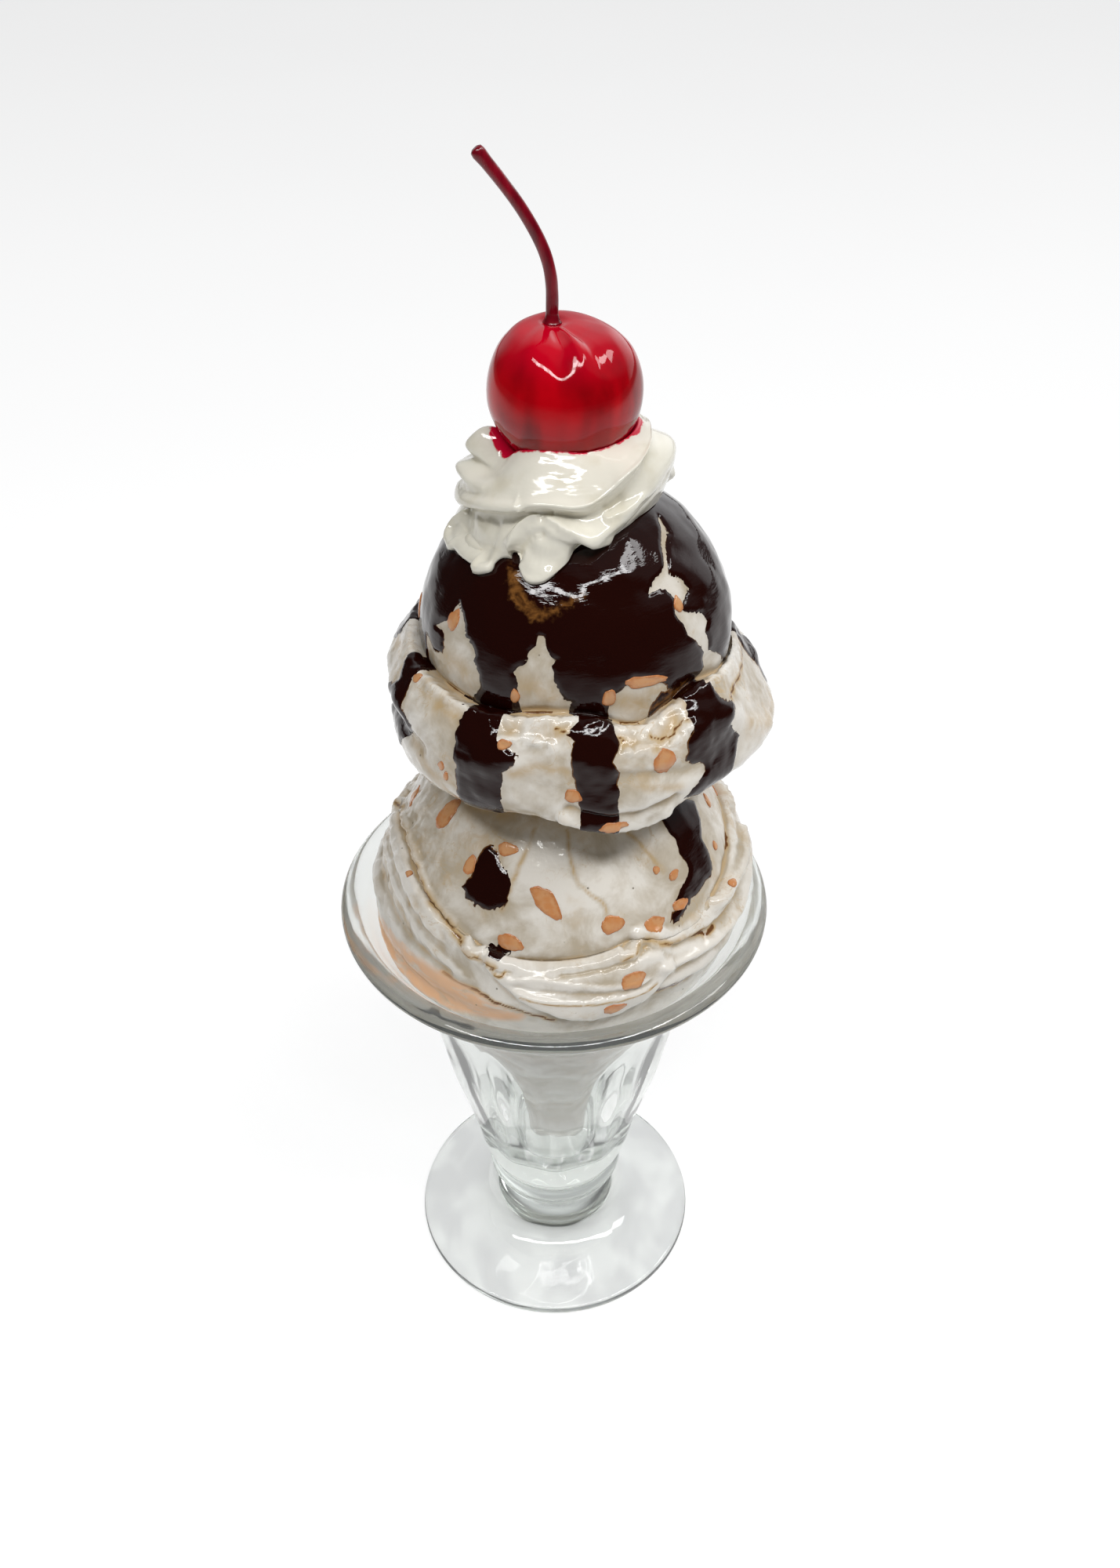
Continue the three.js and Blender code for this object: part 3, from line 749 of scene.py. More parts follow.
def upper_controls(ball, lower_ball):
    """Controls of the upper scoop: its skirt is a collar round the ball, whose lip rises past the seam."""
    under = [(radius, over_ball(lower_ball, COLLAR_X, radius)) for radius in (0, 8, 15, 20.5)]
    return [
        *under,
        (26, 165),
        (31.5, 168.8),
        (raised(collar_radius, -4.4), lambda a: collar_height(a) - collar_depth(a)),
        (raised(collar_radius, -1.2), lambda a: collar_height(a) - 0.6 * collar_depth(a)),
        (collar_radius, collar_height),
        (lambda a: collar_radius(a) - 1.2 + collar_slope(a) / 2, raised(collar_height, 5)),
        (
            between(collar_radius, raised(lip_width, 33), collar_slope),
            between(raised(collar_height, 7), seam_height),
        ),
        (raised(lip_width, 32.6), raised(seam_height, 0.6)),
        (raised(lip_width, 31.2), raised(seam_height, 1.3)),
        (lambda a: 31.3 + lip_width(a) / 3, raised(seam_height, 0.3)),
        (30.8, seam_height),
        (at_ball(ball, raised(seam_height, 1.8), 0.1), raised(seam_height, 1.8)),
        *((at_ball(ball, height), height) for height in (199, 204, 209.5, 214.5, 218.5, 222.5, 225.3)),
        (0, ball.height + ball.radius),
    ]


# ---- Folds of the scoops' skirts ----

TONGUE = [
    (-24, 136.2), (-21.4, 133.8), (-18.4, 132), (-13.5, 130.3), (-6.3, 128), (1.4, 125.4), (10.3, 123.6),
    (18.2, 123.8), (23.5, 125.3), (28.1, 127.2), (33, 130), (34, 133.4), (30, 136.6), (24, 138.4),
    (12.5, 138.2), (6.4, 137.8), (2, 137), (-6.1, 136.8), (-14.3, 136.2),
]

LEFT_CREASE = [(-100, 143), (-77, 147), (-62, 146), (-49, 142.4), (-37, 139.5), (-28, 136.8), (-20, 136.4)]
LOWER_FOLDS = [
    Fold(LEFT_CREASE, 1.3, 0.9, 1.3, 0.3),
    Fold([(-100, 142.4), (-82, 143.6), (-64, 141.4), (-52, 139), (-40, 136.4)], 0.6, 1.0, 1.6),
    Fold([(-95, 137), (-78, 138.4), (-62, 136.2), (-50, 133.6), (-41, 131.4), (-30, 130)], 0.9, 0.9, 2.0),
    Fold([(-95, 131), (-78, 132.4), (-60, 129.6), (-46, 128.6), (-34, 128.6)], -0.7, 1.4, 1.2),
    Fold([(-19, 135.4), (-6.7, 136), (2, 136.1), (12, 136.8), (21, 137.6), (26, 138.6)], -0.8, 0.7, 0.6),
    Fold(
        [(-14.4, 134), (-6.7, 134.9), (2.4, 134.4), (11.4, 133.4), (18.2, 132.8), (24.3, 132.9)],
        0.5, 0.4, 0.9,
    ),
    Fold([(-12, 132.9), (-2.8, 132.6), (8, 131.9), (18, 131.5), (25, 131.6)], -0.4, 0.6, 0.5),
    Fold(
        [(-10.6, 131.8), (-2.8, 130.9), (5, 130.4), (11.5, 130.4), (18.1, 130.3), (25.3, 130.6)],
        0.6, 0.4, 1.5,
    ),
    Fold(
        [(24, 140.7), (33, 138.4), (41, 137.4), (52, 137.4), (65, 137.6), (79, 137.6), (92, 139)],
        1.7, 1.1, 1.3, 0.15,
    ),
    Fold([(36, 135.2), (45, 134), (56, 133.4), (70, 133.6), (84, 134.6)], -1.3, 1.0, 1.0),
    Fold(
        [(30, 133.4), (36, 131.8), (45, 131.2), (56, 130.4), (70, 130.2), (84, 132.4), (98, 134)],
        1.4, 1.0, 1.4,
    ),
    Fold([(38, 129.2), (50, 127.8), (64, 127.2), (80, 128.4)], -0.9, 1.0, 1.2),
    Fold([(33, 127.4), (44, 126), (58, 124.6), (74, 125)], 0.8, 1.0, 1.6),
    Fold([(100, 142), (130, 141), (165, 136.5), (200, 137.5), (230, 140), (252, 143)], 1.5, 1.4, 1.8, 0.4),
    Fold([(110, 133), (140, 136), (170, 131), (200, 129)], 1.4, 1.8, 2.2),
    Fold([(205, 134), (232, 131), (258, 129), (280, 128)], 1.3, 1.8, 2.2),
]

UPPER_FOLDS = [
    Fold([(-60, 187), (-40, 184.6), (-20, 188)], 0.8, 3, 3),
    Fold([(-118, 187.5), (-100, 187), (-84, 186.6), (-66, 187.4)], 1.5, 2.4, 2.6),
    Fold([(-92, 180.6), (-78, 181.4), (-64, 181), (-52, 182.4)], -1.0, 1.8, 2.0),
    Fold([(-6, 176.5), (2, 175), (10, 173.6), (18, 173.4), (24, 175)], 1.2, 1.2, 1.2, 0.3),
    Fold([(-5, 179.2), (6, 177.2), (16, 176.9), (26, 178.6)], -1.0, 1.0, 1.1),
    Fold([(10, 186.2), (16, 185.6), (24, 184.8), (31, 183.6)], -0.6, 1.3, 1.6),
    Fold([(50, 190), (60, 184), (74, 178)], 1.0, 2.6, 2.6),
    Fold([(14, 190), (22, 189.8), (28, 190.6), (34, 192)], 0.7, 0.8, 1.2, 0.7),
    Fold([(-22, 191.8), (-14, 192.4), (-8, 192.2)], 0.6, 0.8, 1.4, 0.6),
    Fold([(14, 214.6), (24, 215), (34, 215), (44, 213.6), (52, 211.6)], -0.4, 3.6, 3.2),
    Fold([(100, 184), (125, 187), (150, 183)], 1.2, 2.6, 2.8),
    Fold([(165, 179), (190, 182), (215, 179), (238, 182)], 1.2, 2.2, 2.8),
    Fold([(120, 176), (150, 174), (185, 176)], 1.0, 1.8, 1.6, 0.3),
]


# ---- Sauce ----

# Outlines of the glaze that shows through the sauce on the upper scoop's ball.
WINDOWS = [
    [
        (-62, 204), (-57, 206), (-54.5, 208), (-53, 210.5), (-49.5, 209), (-47, 207.5), (-44, 205.5),
        (-40.5, 205), (-38.5, 203.5), (-39, 202), (-36, 200), (-36, 197), (-38, 195), (-41, 192.5),
        (-62, 191), (-67, 194), (-71, 199), (-66, 199.6), (-62, 198.5), (-56, 199.5), (-54.5, 201),
        (-56.5, 203.5),
    ],
    [
        (-14.5, 210), (-12.5, 209), (-10, 206.5), (-7.5, 205.8), (-9, 204.5), (-8, 202), (-6, 199.5),
        (-4.5, 197.8), (-2, 197.5), (-2.5, 196), (-3, 192), (-20, 192), (-20.5, 196.5), (-21, 199.5),
        (-22.5, 202.7), (-20, 204.2), (-17.7, 205.5), (-17.8, 206.5), (-15.8, 207.8),
    ],
    [
        (72, 221.8), (66, 220.2), (57.5, 219.2), (50.5, 217.7), (47.8, 216), (52.5, 214.6), (54, 212.5),
        (49.5, 211.5), (44.8, 210.4), (48, 209.2), (56, 207.8), (57, 206), (55, 204), (55.5, 200),
        (63, 197), (75, 190), (46, 190), (48, 196), (51.5, 197.5), (52, 200.4), (48.5, 204), (45, 206),
        (44, 207.8), (41.5, 210), (44.2, 212.5), (41.5, 214.2), (33, 214.6), (37, 215.8), (45.5, 216.8),
        (53, 219.2), (62, 220.8),
    ],
    [
        (9.5, 199.5), (13.5, 199), (16.7, 200.3), (20, 201.6), (25, 200.7), (32.5, 198), (33.5, 197),
        (30, 197), (26.5, 194.8), (24.7, 190), (17, 189), (11, 191), (11, 195), (9.6, 198),
    ],
]
# Each window and run at the back is an azimuth, the height of its tip and its half-width.
BACK_WINDOWS = [(106, 204, 12), (139, 213, 9), (172, 202, 14), (214, 209, 10), (246, 203, 12)]
AMBER_POOL = [
    (26.5, 194.6), (33.5, 196.8), (41, 196.8), (46, 197), (40, 193.5), (32, 191.5), (26, 190), (21, 190),
    (24.5, 193),
]
AMBER_FRONT = [
    (-38, 219.5), (-33, 216.4), (-26, 213.6), (-18, 211.8), (-10, 212.8), (-2, 214.8), (4, 216.6),
    (-2, 216), (-9, 214.6), (-15, 213.8), (-23, 215.6), (-29, 218.4),
]
# Outlines of the sauce that runs over the collar.
RUNS = [
    [
        (-41, 193), (-36, 195), (-38, 191), (-37.5, 189.5), (-36.5, 188), (-36.5, 185.5), (-36, 184),
        (-37, 182), (-37, 179), (-36.5, 172), (-23, 172), (-23.3, 177), (-22.7, 180.6), (-22.4, 184),
        (-21.8, 186), (-19, 188.3), (-17.5, 190), (-20.5, 190.6), (-24, 191.8), (-24, 195), (-30, 196),
    ],
    [
        (-3, 193.5), (1.5, 196), (10, 196), (11.5, 192.5), (10.7, 190.7), (9.2, 189), (10.4, 187),
        (9.4, 184.3), (9.1, 180), (9.5, 171), (-1, 171), (-1.4, 181), (-2.3, 184), (-2.2, 189), (-2, 192),
        (-0.5, 192.8),
    ],
    [
        (38, 197), (43, 198), (47, 196.5), (49, 193.5), (53, 191.5), (51, 190), (48.5, 188.5),
        (51, 185.5), (53, 184), (50, 181), (46, 176), (37, 175), (28.5, 177.5), (34, 181), (36.3, 182.2),
        (35, 184), (32.4, 184.5), (30.6, 186), (30.7, 187.6), (31.5, 189.8), (34, 191), (35, 193),
    ],
    [
        (-76, 196), (-62, 196), (-64, 192.5), (-62.5, 189.2), (-61.5, 187.8), (-58, 186.5), (-56, 186),
        (-56.5, 184), (-60, 181.5), (-66, 178), (-72, 172), (-88, 174), (-84, 182), (-76, 187),
        (-70, 190), (-72, 191.5),
    ],
    [(-118, 196), (-96, 196), (-92, 192), (-98, 188), (-106, 184), (-116, 179), (-124, 186)],
]
BACK_RUNS = [(98, 176, 7), (136, 180, 9), (163, 174, 6), (196, 177, 8), (222, 183, 5)]
TEARDROP = [
    (-33, 156), (-28, 155.2), (-24.5, 153.5), (-21.3, 152.6), (-19.3, 150.6), (-19.5, 148),
    (-21.4, 146.2), (-26, 145), (-31, 145), (-35, 145.8), (-37.3, 147.5), (-37, 149), (-34.8, 150),
    (-35.6, 152), (-35, 154),
]
SIDE_STRIP = [
    (50, 162), (62, 162), (72, 156), (75, 154.5), (73, 153), (68, 151), (65, 149.3), (64, 144), (60, 142),
    (54, 142.3), (48, 141.6), (44, 140.5), (39, 138.8), (37, 140), (38.6, 141.5), (41.4, 142.2),
    (40.8, 143.5), (44.5, 145), (48.7, 146), (50.7, 147.7), (50.2, 151), (51.6, 153), (50.7, 154.5),
]
DARK_SPOT = [(-24, 138.2), (-19, 138.8), (-16, 138), (-17.5, 137), (-21.5, 136.9)]
LOWER_BACK_RUNS = [(128, 143, 6), (186, 148, 8), (238, 145, 5)]


# How far along to its tip each step of a run or a window lies, and how much of its width is left there.
JAGGED_STEPS = [(0.0, 1.0), (0.3, 0.82), (0.45, 0.95), (0.7, 0.6), (0.9, 0.42), (1.0, 0.12)]
LOWER_RUNS_START = 163  # the heights from which the runs and windows at the back start
COLLAR_RUNS_START = 197
WINDOWS_START = 190


def jagged(azimuth, tip, width, base):
    """An outline that narrows from its base to a ragged tip, which hangs in a run and stands in a window."""
    rise = tip - base
    left = [(azimuth - width * share, base + rise * along) for along, share in JAGGED_STEPS]
    right = [
        (azimuth + width * share * 0.9, base + rise * min(along + 0.06, 1))
        for along, share in reversed(JAGGED_STEPS)
    ]
    return left + right if rise < 0 else right[::-1] + left[::-1]


def covered(skin, outlines):
    """How far inside some outlines each point lies, in millimetres."""
    return np.maximum.reduce([skin.inside(outline) for outline in outlines])


def ragged(skin, field):
    """A sauce field whose edge wanders as a poured edge does."""
    return field + 0.35 * fractal(skin.points, 3.2, 2, seed=5) + 0.16 * fractal(skin.points, 1.1, 2, seed=6)


def coat(skin, field, thickness):
    """Stands the sauce proud of the glaze, with a soft shoulder at its edge."""
    skin.press(thickness * smooth(field, -0.1, 0.8))


# ---- The lower scoop ----

PEACH_SMEAR = [
    (-92, 120), (-84, 122), (-75, 124), (-60, 125.6), (-46, 126.4), (-34, 127), (-24, 127), (-16, 126),
    (-8, 124.4), (-10, 122.2), (-17, 120.6), (-32, 118), (-47, 116.6), (-62, 114.5), (-78, 113.5),
    (-90, 115),
]


SCRAPES = np.array([1.5, 1.5, 0.6])  # stretches lumps into upright scrapes
DRY = -3.0  # the sauce's and the stains' field far from them, in millimetres


def lower_scoop(sizes):
    ball = Ball(LOWER_X, LOWER_HEIGHT, sizes.lower_radius / MM)
    skin = Skin(lower_controls(ball), SCOOP_COLUMNS, SCOOP_ROWS, lower_axis, finer_above(116, 0.45))
    skin.press(1.5 * smooth(skin.inside(TONGUE), -0.5, 1.3))
    skin.carve(LOWER_FOLDS)
    height = skin.points[..., 2]
    on_ball = smooth(height, 140, 148)
    skin.roughen(0.35, 14, seed=1, share=on_ball)
    in_glass = 1 - smooth(height, 108, 118)
    skin.roughen(0.9, 11, seed=2, share=in_glass)
    skin.roughen(0.22, 4, seed=4, share=(1 - on_ball) * (1 - in_glass))
    scraped = fractal(skin.points * SCRAPES, 5, 3, seed=8)
    left = smooth(-skin.points[..., 0], 16, 32)
    skin.press(0.42 * scraped * left * smooth(height, 126, 134))
    runs = [jagged(*run, LOWER_RUNS_START) for run in LOWER_BACK_RUNS]
    field = ragged(skin, covered(skin, [TEARDROP, SIDE_STRIP, DARK_SPOT, *runs]))
    coat(skin, field, sizes.sauce_thickness / MM)
    skin.fields = {
        "sauce": field,
        "amber": np.full(height.shape, DRY),
        "peach": smooth(skin.inside(PEACH_SMEAR), -1.2, 1.2),
        "hollow": skin.hollows(),
        "stain": stains_and_painted_light(skin, LOWER_STAINS_AND_PAINTED_LIGHT),
    }
    return skin.mesh("lower_scoop_glazed")


# Lines along which the glaze is stained, with their half-width and strength: up to 1 it is tan, and above
# that it is brown.
# Below 0 a line is painted light: the glaze takes its thick, pale colour there.
LOWER_STAINS_AND_PAINTED_LIGHT = [
    (LEFT_CREASE, 1.0, 1.35),
    ([(-22, 137), (-18, 134), (-14, 136.2), (-5, 136.8), (8, 137.4), (20, 138.4), (27, 140)], 0.6, 1.3),
    ([(26, 140), (33, 137), (41, 135.6), (52, 134)], 0.9, 1.2),
    ([(-10, 131.4), (3, 130.2), (16, 129.8), (28, 130.4)], 0.4, 1.3),
    ([(44, 134.4), (48.1, 133.6), (50.4, 132.6), (54, 132.8)], 0.8, 1.7),
    ([(28, 127), (32, 125.6), (38, 124.8), (44, 124.4)], 1.0, 1.9),
    ([(-37, 126.9), (-26, 127.3), (-15.5, 126.8), (-6, 125), (0, 123.4)], 0.55, 1.9),
    ([(76, 142), (79, 141), (84, 142)], 0.6, 1.8),
    ([(-92, 137), (-78, 136), (-66, 134), (-54, 131)], 1.6, 0.8),
    ([(60, 150), (64, 146), (62, 142)], 1.2, 0.5),
    ([(-14, 160), (-17, 155), (-20, 150), (-21, 146)], 0.6, 0.9),
    ([(2, 160), (3, 156), (6, 152), (14, 148), (15, 145)], 0.5, 0.9),
    ([(28, 160), (34, 156), (40, 150)], 0.6, 0.9),
    # Painted shadow: a tan band on the ball's top under the upper scoop's collar.
    ([(-50, 160.5), (-25, 162), (0, 162.5), (25, 162), (50, 160.5), (75, 160)], 4.6, 1.0),
    # Painted light: pale patches for the broad soft highlight on the ball's front, the tongue and the skirt's
    # folds, and a pale band round the stump in the glass that lifts its shade.
    ([(-2, 151.5), (9, 150), (18, 151)], 7, -0.4),
    ([(-20, 133.5), (-6, 131.5), (6, 129), (16, 128), (26, 129.5)], 4, -0.8),
    ([(28, 136), (40, 134), (56, 132), (74, 131)], 3, -0.3),
    ([(-62, 133), (-46, 131), (-34, 131)], 2.6, -0.5),
    ([(-88, 112), (-58, 112), (-28, 112), (2, 112), (32, 112), (62, 112), (88, 112)], 8, -1.2),
]
UPPER_STAINS = [
    ([(-60, 193), (-44, 192.6), (-34, 194.6), (-26, 193.6), (-12, 194.4), (1, 194), (9, 193.2)], 0.45, 1.5),
    ([(9, 193.2), (13, 192), (21, 191), (27, 191.1), (34, 192.9), (40, 193.7), (48, 194.4)], 0.5, 1.5),
    ([(54, 191.7), (63, 191.2), (74, 190.5), (86, 190.6)], 0.7, 1.4),
    ([(-60, 193), (-44, 192), (-24, 193), (-10, 194), (0, 194)], 1.6, 0.8),
    ([(12, 191.6), (22, 190.4), (32, 193), (44, 195)], 1.6, 0.9),
    ([(60, 184), (70, 180), (84, 178)], 2.4, 0.7),
    ([(-58, 181), (-48, 179), (-42, 176)], 1.6, 0.6),
    ([(-56, 199), (-46, 199), (-40, 197)], 2.6, 0.6),
    ([(-18, 200), (-12, 199), (-8, 198)], 2.6, 0.6),
    ([(12, 197), (20, 196), (24, 194)], 2.0, 0.7),
    ([(-96, 190), (-88, 191), (-80, 192)], 1.6, 0.9),
    ([(-20, 186), (-12, 187.5), (-4, 187)], 1.2, 0.7),
    ([(14, 184), (20, 182), (27, 181)], 1.0, 0.6),
]


def stains_and_painted_light(skin, lines):
    """How strongly the glaze is stained at each point, with pale lines as painted light below 0. Where a tan
    line crosses a pale one, tan wins.
    """
    stain = np.zeros(skin.points.shape[:2])
    # pale gathers the painted light of the lines below 0.
    pale = np.zeros(skin.points.shape[:2])
    for line, reach, strength in lines:
        path = skin.drawn(line)
        where = skin.near(path, 3 * reach)
        share = np.exp(-((skin.to_path(path, where)[0] / reach) ** 2))
        if strength > 0:
            stain[where] = np.maximum(stain[where], strength * share)
        else:
            pale[where] = np.minimum(pale[where], strength * share)
    return stain + pale * (1 - np.minimum(stain, 1))


# ---- The upper scoop ----


def upper_scoop(sizes):
    lower_ball = Ball(LOWER_X, LOWER_HEIGHT, sizes.lower_radius / MM)
    ball = Ball(UPPER_X, UPPER_HEIGHT, sizes.upper_radius / MM)
    controls = upper_controls(ball, lower_ball)
    skin = Skin(controls, SCOOP_COLUMNS, SCOOP_ROWS, upper_axis, finer_above(170, 0.4))
    on_dome = np.broadcast_to((skin.places > SEAM_CONTROL - 0.3)[:, None], skin.azimuth.shape)
    skin.carve(UPPER_FOLDS)
    height = skin.points[..., 2]
    shown = smooth(height, 169, 174)
    skin.roughen(0.45, 13, seed=11, share=shown)
    skin.roughen(0.22, 3.5, seed=12, share=shown * ~on_dome)
    on_lip = np.exp(-(((skin.places - LIP_CONTROL) / 1.2) ** 2))[:, None]
    skin.roughen(0.5, 2.2, seed=13, share=on_lip)
    bare = covered(skin, WINDOWS + [jagged(*window, WINDOWS_START) for window in BACK_WINDOWS])
    poured = covered(skin, RUNS + [jagged(*run, COLLAR_RUNS_START) for run in BACK_RUNS])
    field = ragged(skin, np.where(on_dome, -bare, poured))
    coat(skin, field, sizes.sauce_thickness / MM)
    amber = np.where(on_dome, np.clip(covered(skin, [AMBER_POOL, AMBER_FRONT]), DRY, -DRY), DRY)
    skin.fields = {
        "sauce": field,
        "amber": amber,
        "peach": np.zeros(height.shape),
        "hollow": skin.hollows(),
        "stain": stains_and_painted_light(skin, UPPER_STAINS),
    }
    return skin.mesh("upper_scoop_glazed")


BROWN_STAIN = srgb(104, 64, 30)
SPECK = srgb(96, 84, 62)


def glaze_tint(tree, where, colours, broad, fine):
    """The colour of the bare glaze: thinner in random clouds, tan along veins and the drawn lines, and
    specked, with painted shade that darkens and tans its hollows and pales its ridges.
    """
    # The drawn lines bring real stains, a painted shadow under the collar and pale painted light.
    painted = attribute(tree, "stain")
    hollow = attribute(tree, "hollow")
    clouds = stepped(tree, noise_at(tree, where, 85.0, 5.0, 0.6, 0.5), 0.36, 0.66, 0.3, 1.15)
    # Painted shade and light: the hollows are drawn darker and the ridges paler.
    worn_and_shade = maths(tree, "ADD", clouds, stepped(tree, hollow, -0.35, 0.3, -0.7, 0.35))
    worn_and_shade = maths(tree, "ADD", worn_and_shade, maths(tree, "MINIMUM", painted, 0.0), clamp=True)
    tint = tinted(tree, worn_and_shade, rgba(colours.glaze), rgba(colours.worn_and_shade))

    vein = maths(tree, "ABSOLUTE", centred(tree, noise_at(tree, where, 95.0, 5.0, 0.6, 0.8)))
    vein = maths(tree, "MULTIPLY", stepped(tree, vein, 0.012, 0.0), stepped(tree, broad, 0.48, 0.6))
    blots = maths(tree, "MULTIPLY", stepped(tree, broad, 0.5, 0.68, 0.0, 0.5), stepped(tree, fine, 0.4, 0.62))
    tan = maths(tree, "MULTIPLY", painted, stepped(tree, fine, 0.3, 0.6, 0.25, 1.0), clamp=True)
    tan = maths(tree, "MAXIMUM", tan, maths(tree, "MULTIPLY", vein, 0.6))
    # Painted shade: the hollows are drawn tan as well.
    tan = maths(tree, "MAXIMUM", tan, stepped(tree, hollow, 0.15, 0.6, 0.0, 0.75), clamp=True)
    tan = maths(tree, "MAXIMUM", tan, blots)
    tint = tinted(tree, tan, tint, rgba(colours.stain))
    brown = stepped(tree, maths(tree, "ADD", painted, maths(tree, "MULTIPLY", fine, 0.9)), 1.5, 1.9)
    tint = tinted(tree, brown, tint, rgba(BROWN_STAIN))

    smear = noise_at(tree, stretched(tree, where, (0.6, 0.6, 2.0)), 190.0, 4.0, 0.6, 0.8)
    peach = maths(tree, "MULTIPLY", attribute(tree, "peach"), stepped(tree, smear, 0.3, 0.52, 0.3, 1.0))
    tint = tinted(tree, peach, tint, rgba(colours.peach))
    cells = put(tree, "TexVoronoi", {"Vector": where, "Scale": 420.0})
    draw = put(tree, "SeparateColor", {0: cells.outputs["Color"]}).outputs[0]
    dot = stepped(tree, cells.outputs["Distance"], 0.13, 0.06)
    speck = maths(tree, "MULTIPLY", dot, stepped(tree, draw, 0.93, 0.95))
    return tinted(tree, maths(tree, "MULTIPLY", speck, 0.75), tint, rgba(SPECK))


def sauce_tint(tree, where, colours, broad, field, fray):
    """The colour of the sauce: dark where it is thick, and brown at its edge and in its amber streaks."""
    thick = stepped(tree, broad, 0.42, 0.66, 0.03, 0.3)
    depth = put(tree, "MapRange", {"Value": field, "From Min": -0.05, "From Max": thick}).outputs[0]
    amber = maths(tree, "ADD", attribute(tree, "amber"), maths(tree, "MULTIPLY", fray, 9.0))
    streaks = noise_at(tree, stretched(tree, where, (0.7, 0.7, 1.2)), 240.0, 5.0, 0.6, 1.2)
    amber = maths(tree, "MULTIPLY", stepped(tree, amber, -0.4, 1.2), stepped(tree, streaks, 0.3, 0.6))
    depth = maths(tree, "SUBTRACT", depth, maths(tree, "MULTIPLY", amber, 0.95), clamp=True)
    return tinted(tree, depth, rgba(colours.thin_sauce), rgba(colours.sauce))


def scoop_surface(tree, where, poured):
    """The fine relief of a scoop: orange peel and pores on the glaze, and brushed streaks in the sauce."""
    calm = noise_at(tree, stretched(tree, where, (1.0, 1.0, 0.5)), 110.0, 2.0)
    brushed = noise_at(tree, stretched(tree, where, (0.35, 0.35, 1.6)), 520.0, 3.0, 0.6, 0.4)
    calm = maths(tree, "ADD", calm, maths(tree, "MULTIPLY", brushed, 0.35))
    peel = put(tree, "Mix", {0: poured, 2: noise_at(tree, where, 330.0, 3.0), 3: calm}).outputs[0]
    pores = bumped(tree, noise_at(tree, where, 1500.0, 2.0), 0.000012, under=bumped(tree, peel, 0.00016))
    return bumped(tree, poured, 0.00018, under=pores)


def glaze_material(name, colours):
    """Off-white glaze with tan stains and painted shade in its hollows, under thick glossy sauce: the mesh's
    fields say where each lies.
    """
    material, tree, shader, where = new_material(name)
    broad = noise_at(tree, where, 60.0, 4.0, 0.55)
    fine = noise_at(tree, where, 260.0, 6.0, 0.65, 0.6)
    fray = maths(tree, "MULTIPLY", centred(tree, noise_at(tree, where, 800.0, 3.0)), 0.35)
    field = maths(tree, "ADD", attribute(tree, "sauce"), fray)
    poured = stepped(tree, field, -0.06, 0.04)
    bare = glaze_tint(tree, where, colours, broad, fine)
    tint = tinted(tree, poured, bare, sauce_tint(tree, where, colours, broad, field, fray))
    tree.links.new(tint, shader.inputs["Base Color"])
    gloss = tinted(tree, poured, stepped(tree, fine, 0.3, 0.8, 0.07, 0.2), (0.05, 0.05, 0.05, 1.0))
    tree.links.new(gloss, shader.inputs["Roughness"])
    shader.inputs["IOR"].default_value = 1.4
    tree.links.new(scoop_surface(tree, where, poured), shader.inputs["Normal"])
    return material


# ---- The whipped cream ----

CREAM_X = 2.6
CREAM_COLUMNS = 440
CREAM_ROWS = 222
CHERRY_X = 2.3
CHERRY_HEIGHT = 245.4

cream_edge = ring(
    (-170, 22), (-130, 23.5), (-105, 22.6), (-86, 22.7), (-54, 22.5), (-42, 22.2), (-33, 19.2),
    (-26, 20.3), (-19, 22.3), (-13, 22.4), (-6, 21.6), (1, 20.2), (7, 18.4), (14, 18.1), (30, 17.6),
    (46, 16.8), (64, 16.9), (85, 18), (110, 20), (140, 22),
)
roll_radius = ring(
    (-150, 21.2), (-110, 21), (-80, 20.8), (-60, 20.7), (-44, 20.2), (-32, 19.4), (-14, 20.2), (0, 20.6),
    (12, 20.3), (22, 20), (34, 19.7), (48, 19.6), (64, 19.9), (90, 20.6), (120, 21), (150, 21),
)
roll_height = ring(
    (-150, 222), (-110, 220), (-80, 219.5), (-60, 220), (-44, 221.5), (-30, 224), (-14, 226.4),
    (-4, 226.2), (3, 225.6), (12, 225.2), (22, 226), (34, 228), (48, 230.6), (64, 232.8), (90, 234),
    (120, 231), (150, 227),
)
groove_radius = ring(
    (-150, 19.4), (-110, 19.2), (-82, 18.4), (-43, 17.6), (0, 17.4), (17, 17.4), (30, 17.8), (46, 17.8),
    (57, 17.2), (72, 16.6), (90, 16.2), (115, 16), (150, 18),
)
groove_height = ring(
    (-150, 225), (-110, 223), (-82, 222.7), (-62, 224.4), (-43, 226.2), (-30, 227.4), (-15, 228.8),
    (0, 228.8), (8, 228.4), (17, 228.6), (27, 230), (36, 232), (46, 234.2), (56, 236.2), (70, 237.3),
    (90, 237.2), (115, 235), (150, 230),
)
ridge_radius = ring(
    (-150, 19.6), (-110, 20.4), (-82, 20.6), (-49, 20.2), (-20, 19.9), (12, 19.9), (25, 19.8), (38, 19.9),
    (50, 18.6), (65, 17), (85, 15.8), (110, 16.2), (135, 17.6),
)
ridge_height = ring(
    (-150, 228), (-110, 225.6), (-82, 225.4), (-70, 226.5), (-59, 227.8), (-42, 229.5), (-32, 230.4),
    (-20, 231.6), (-8, 232), (4, 231.7), (14, 232.3), (25, 234.6), (31, 236.2), (38, 237.4), (50, 238.2),
    (65, 238.5), (85, 238.6), (110, 237), (135, 234),
)
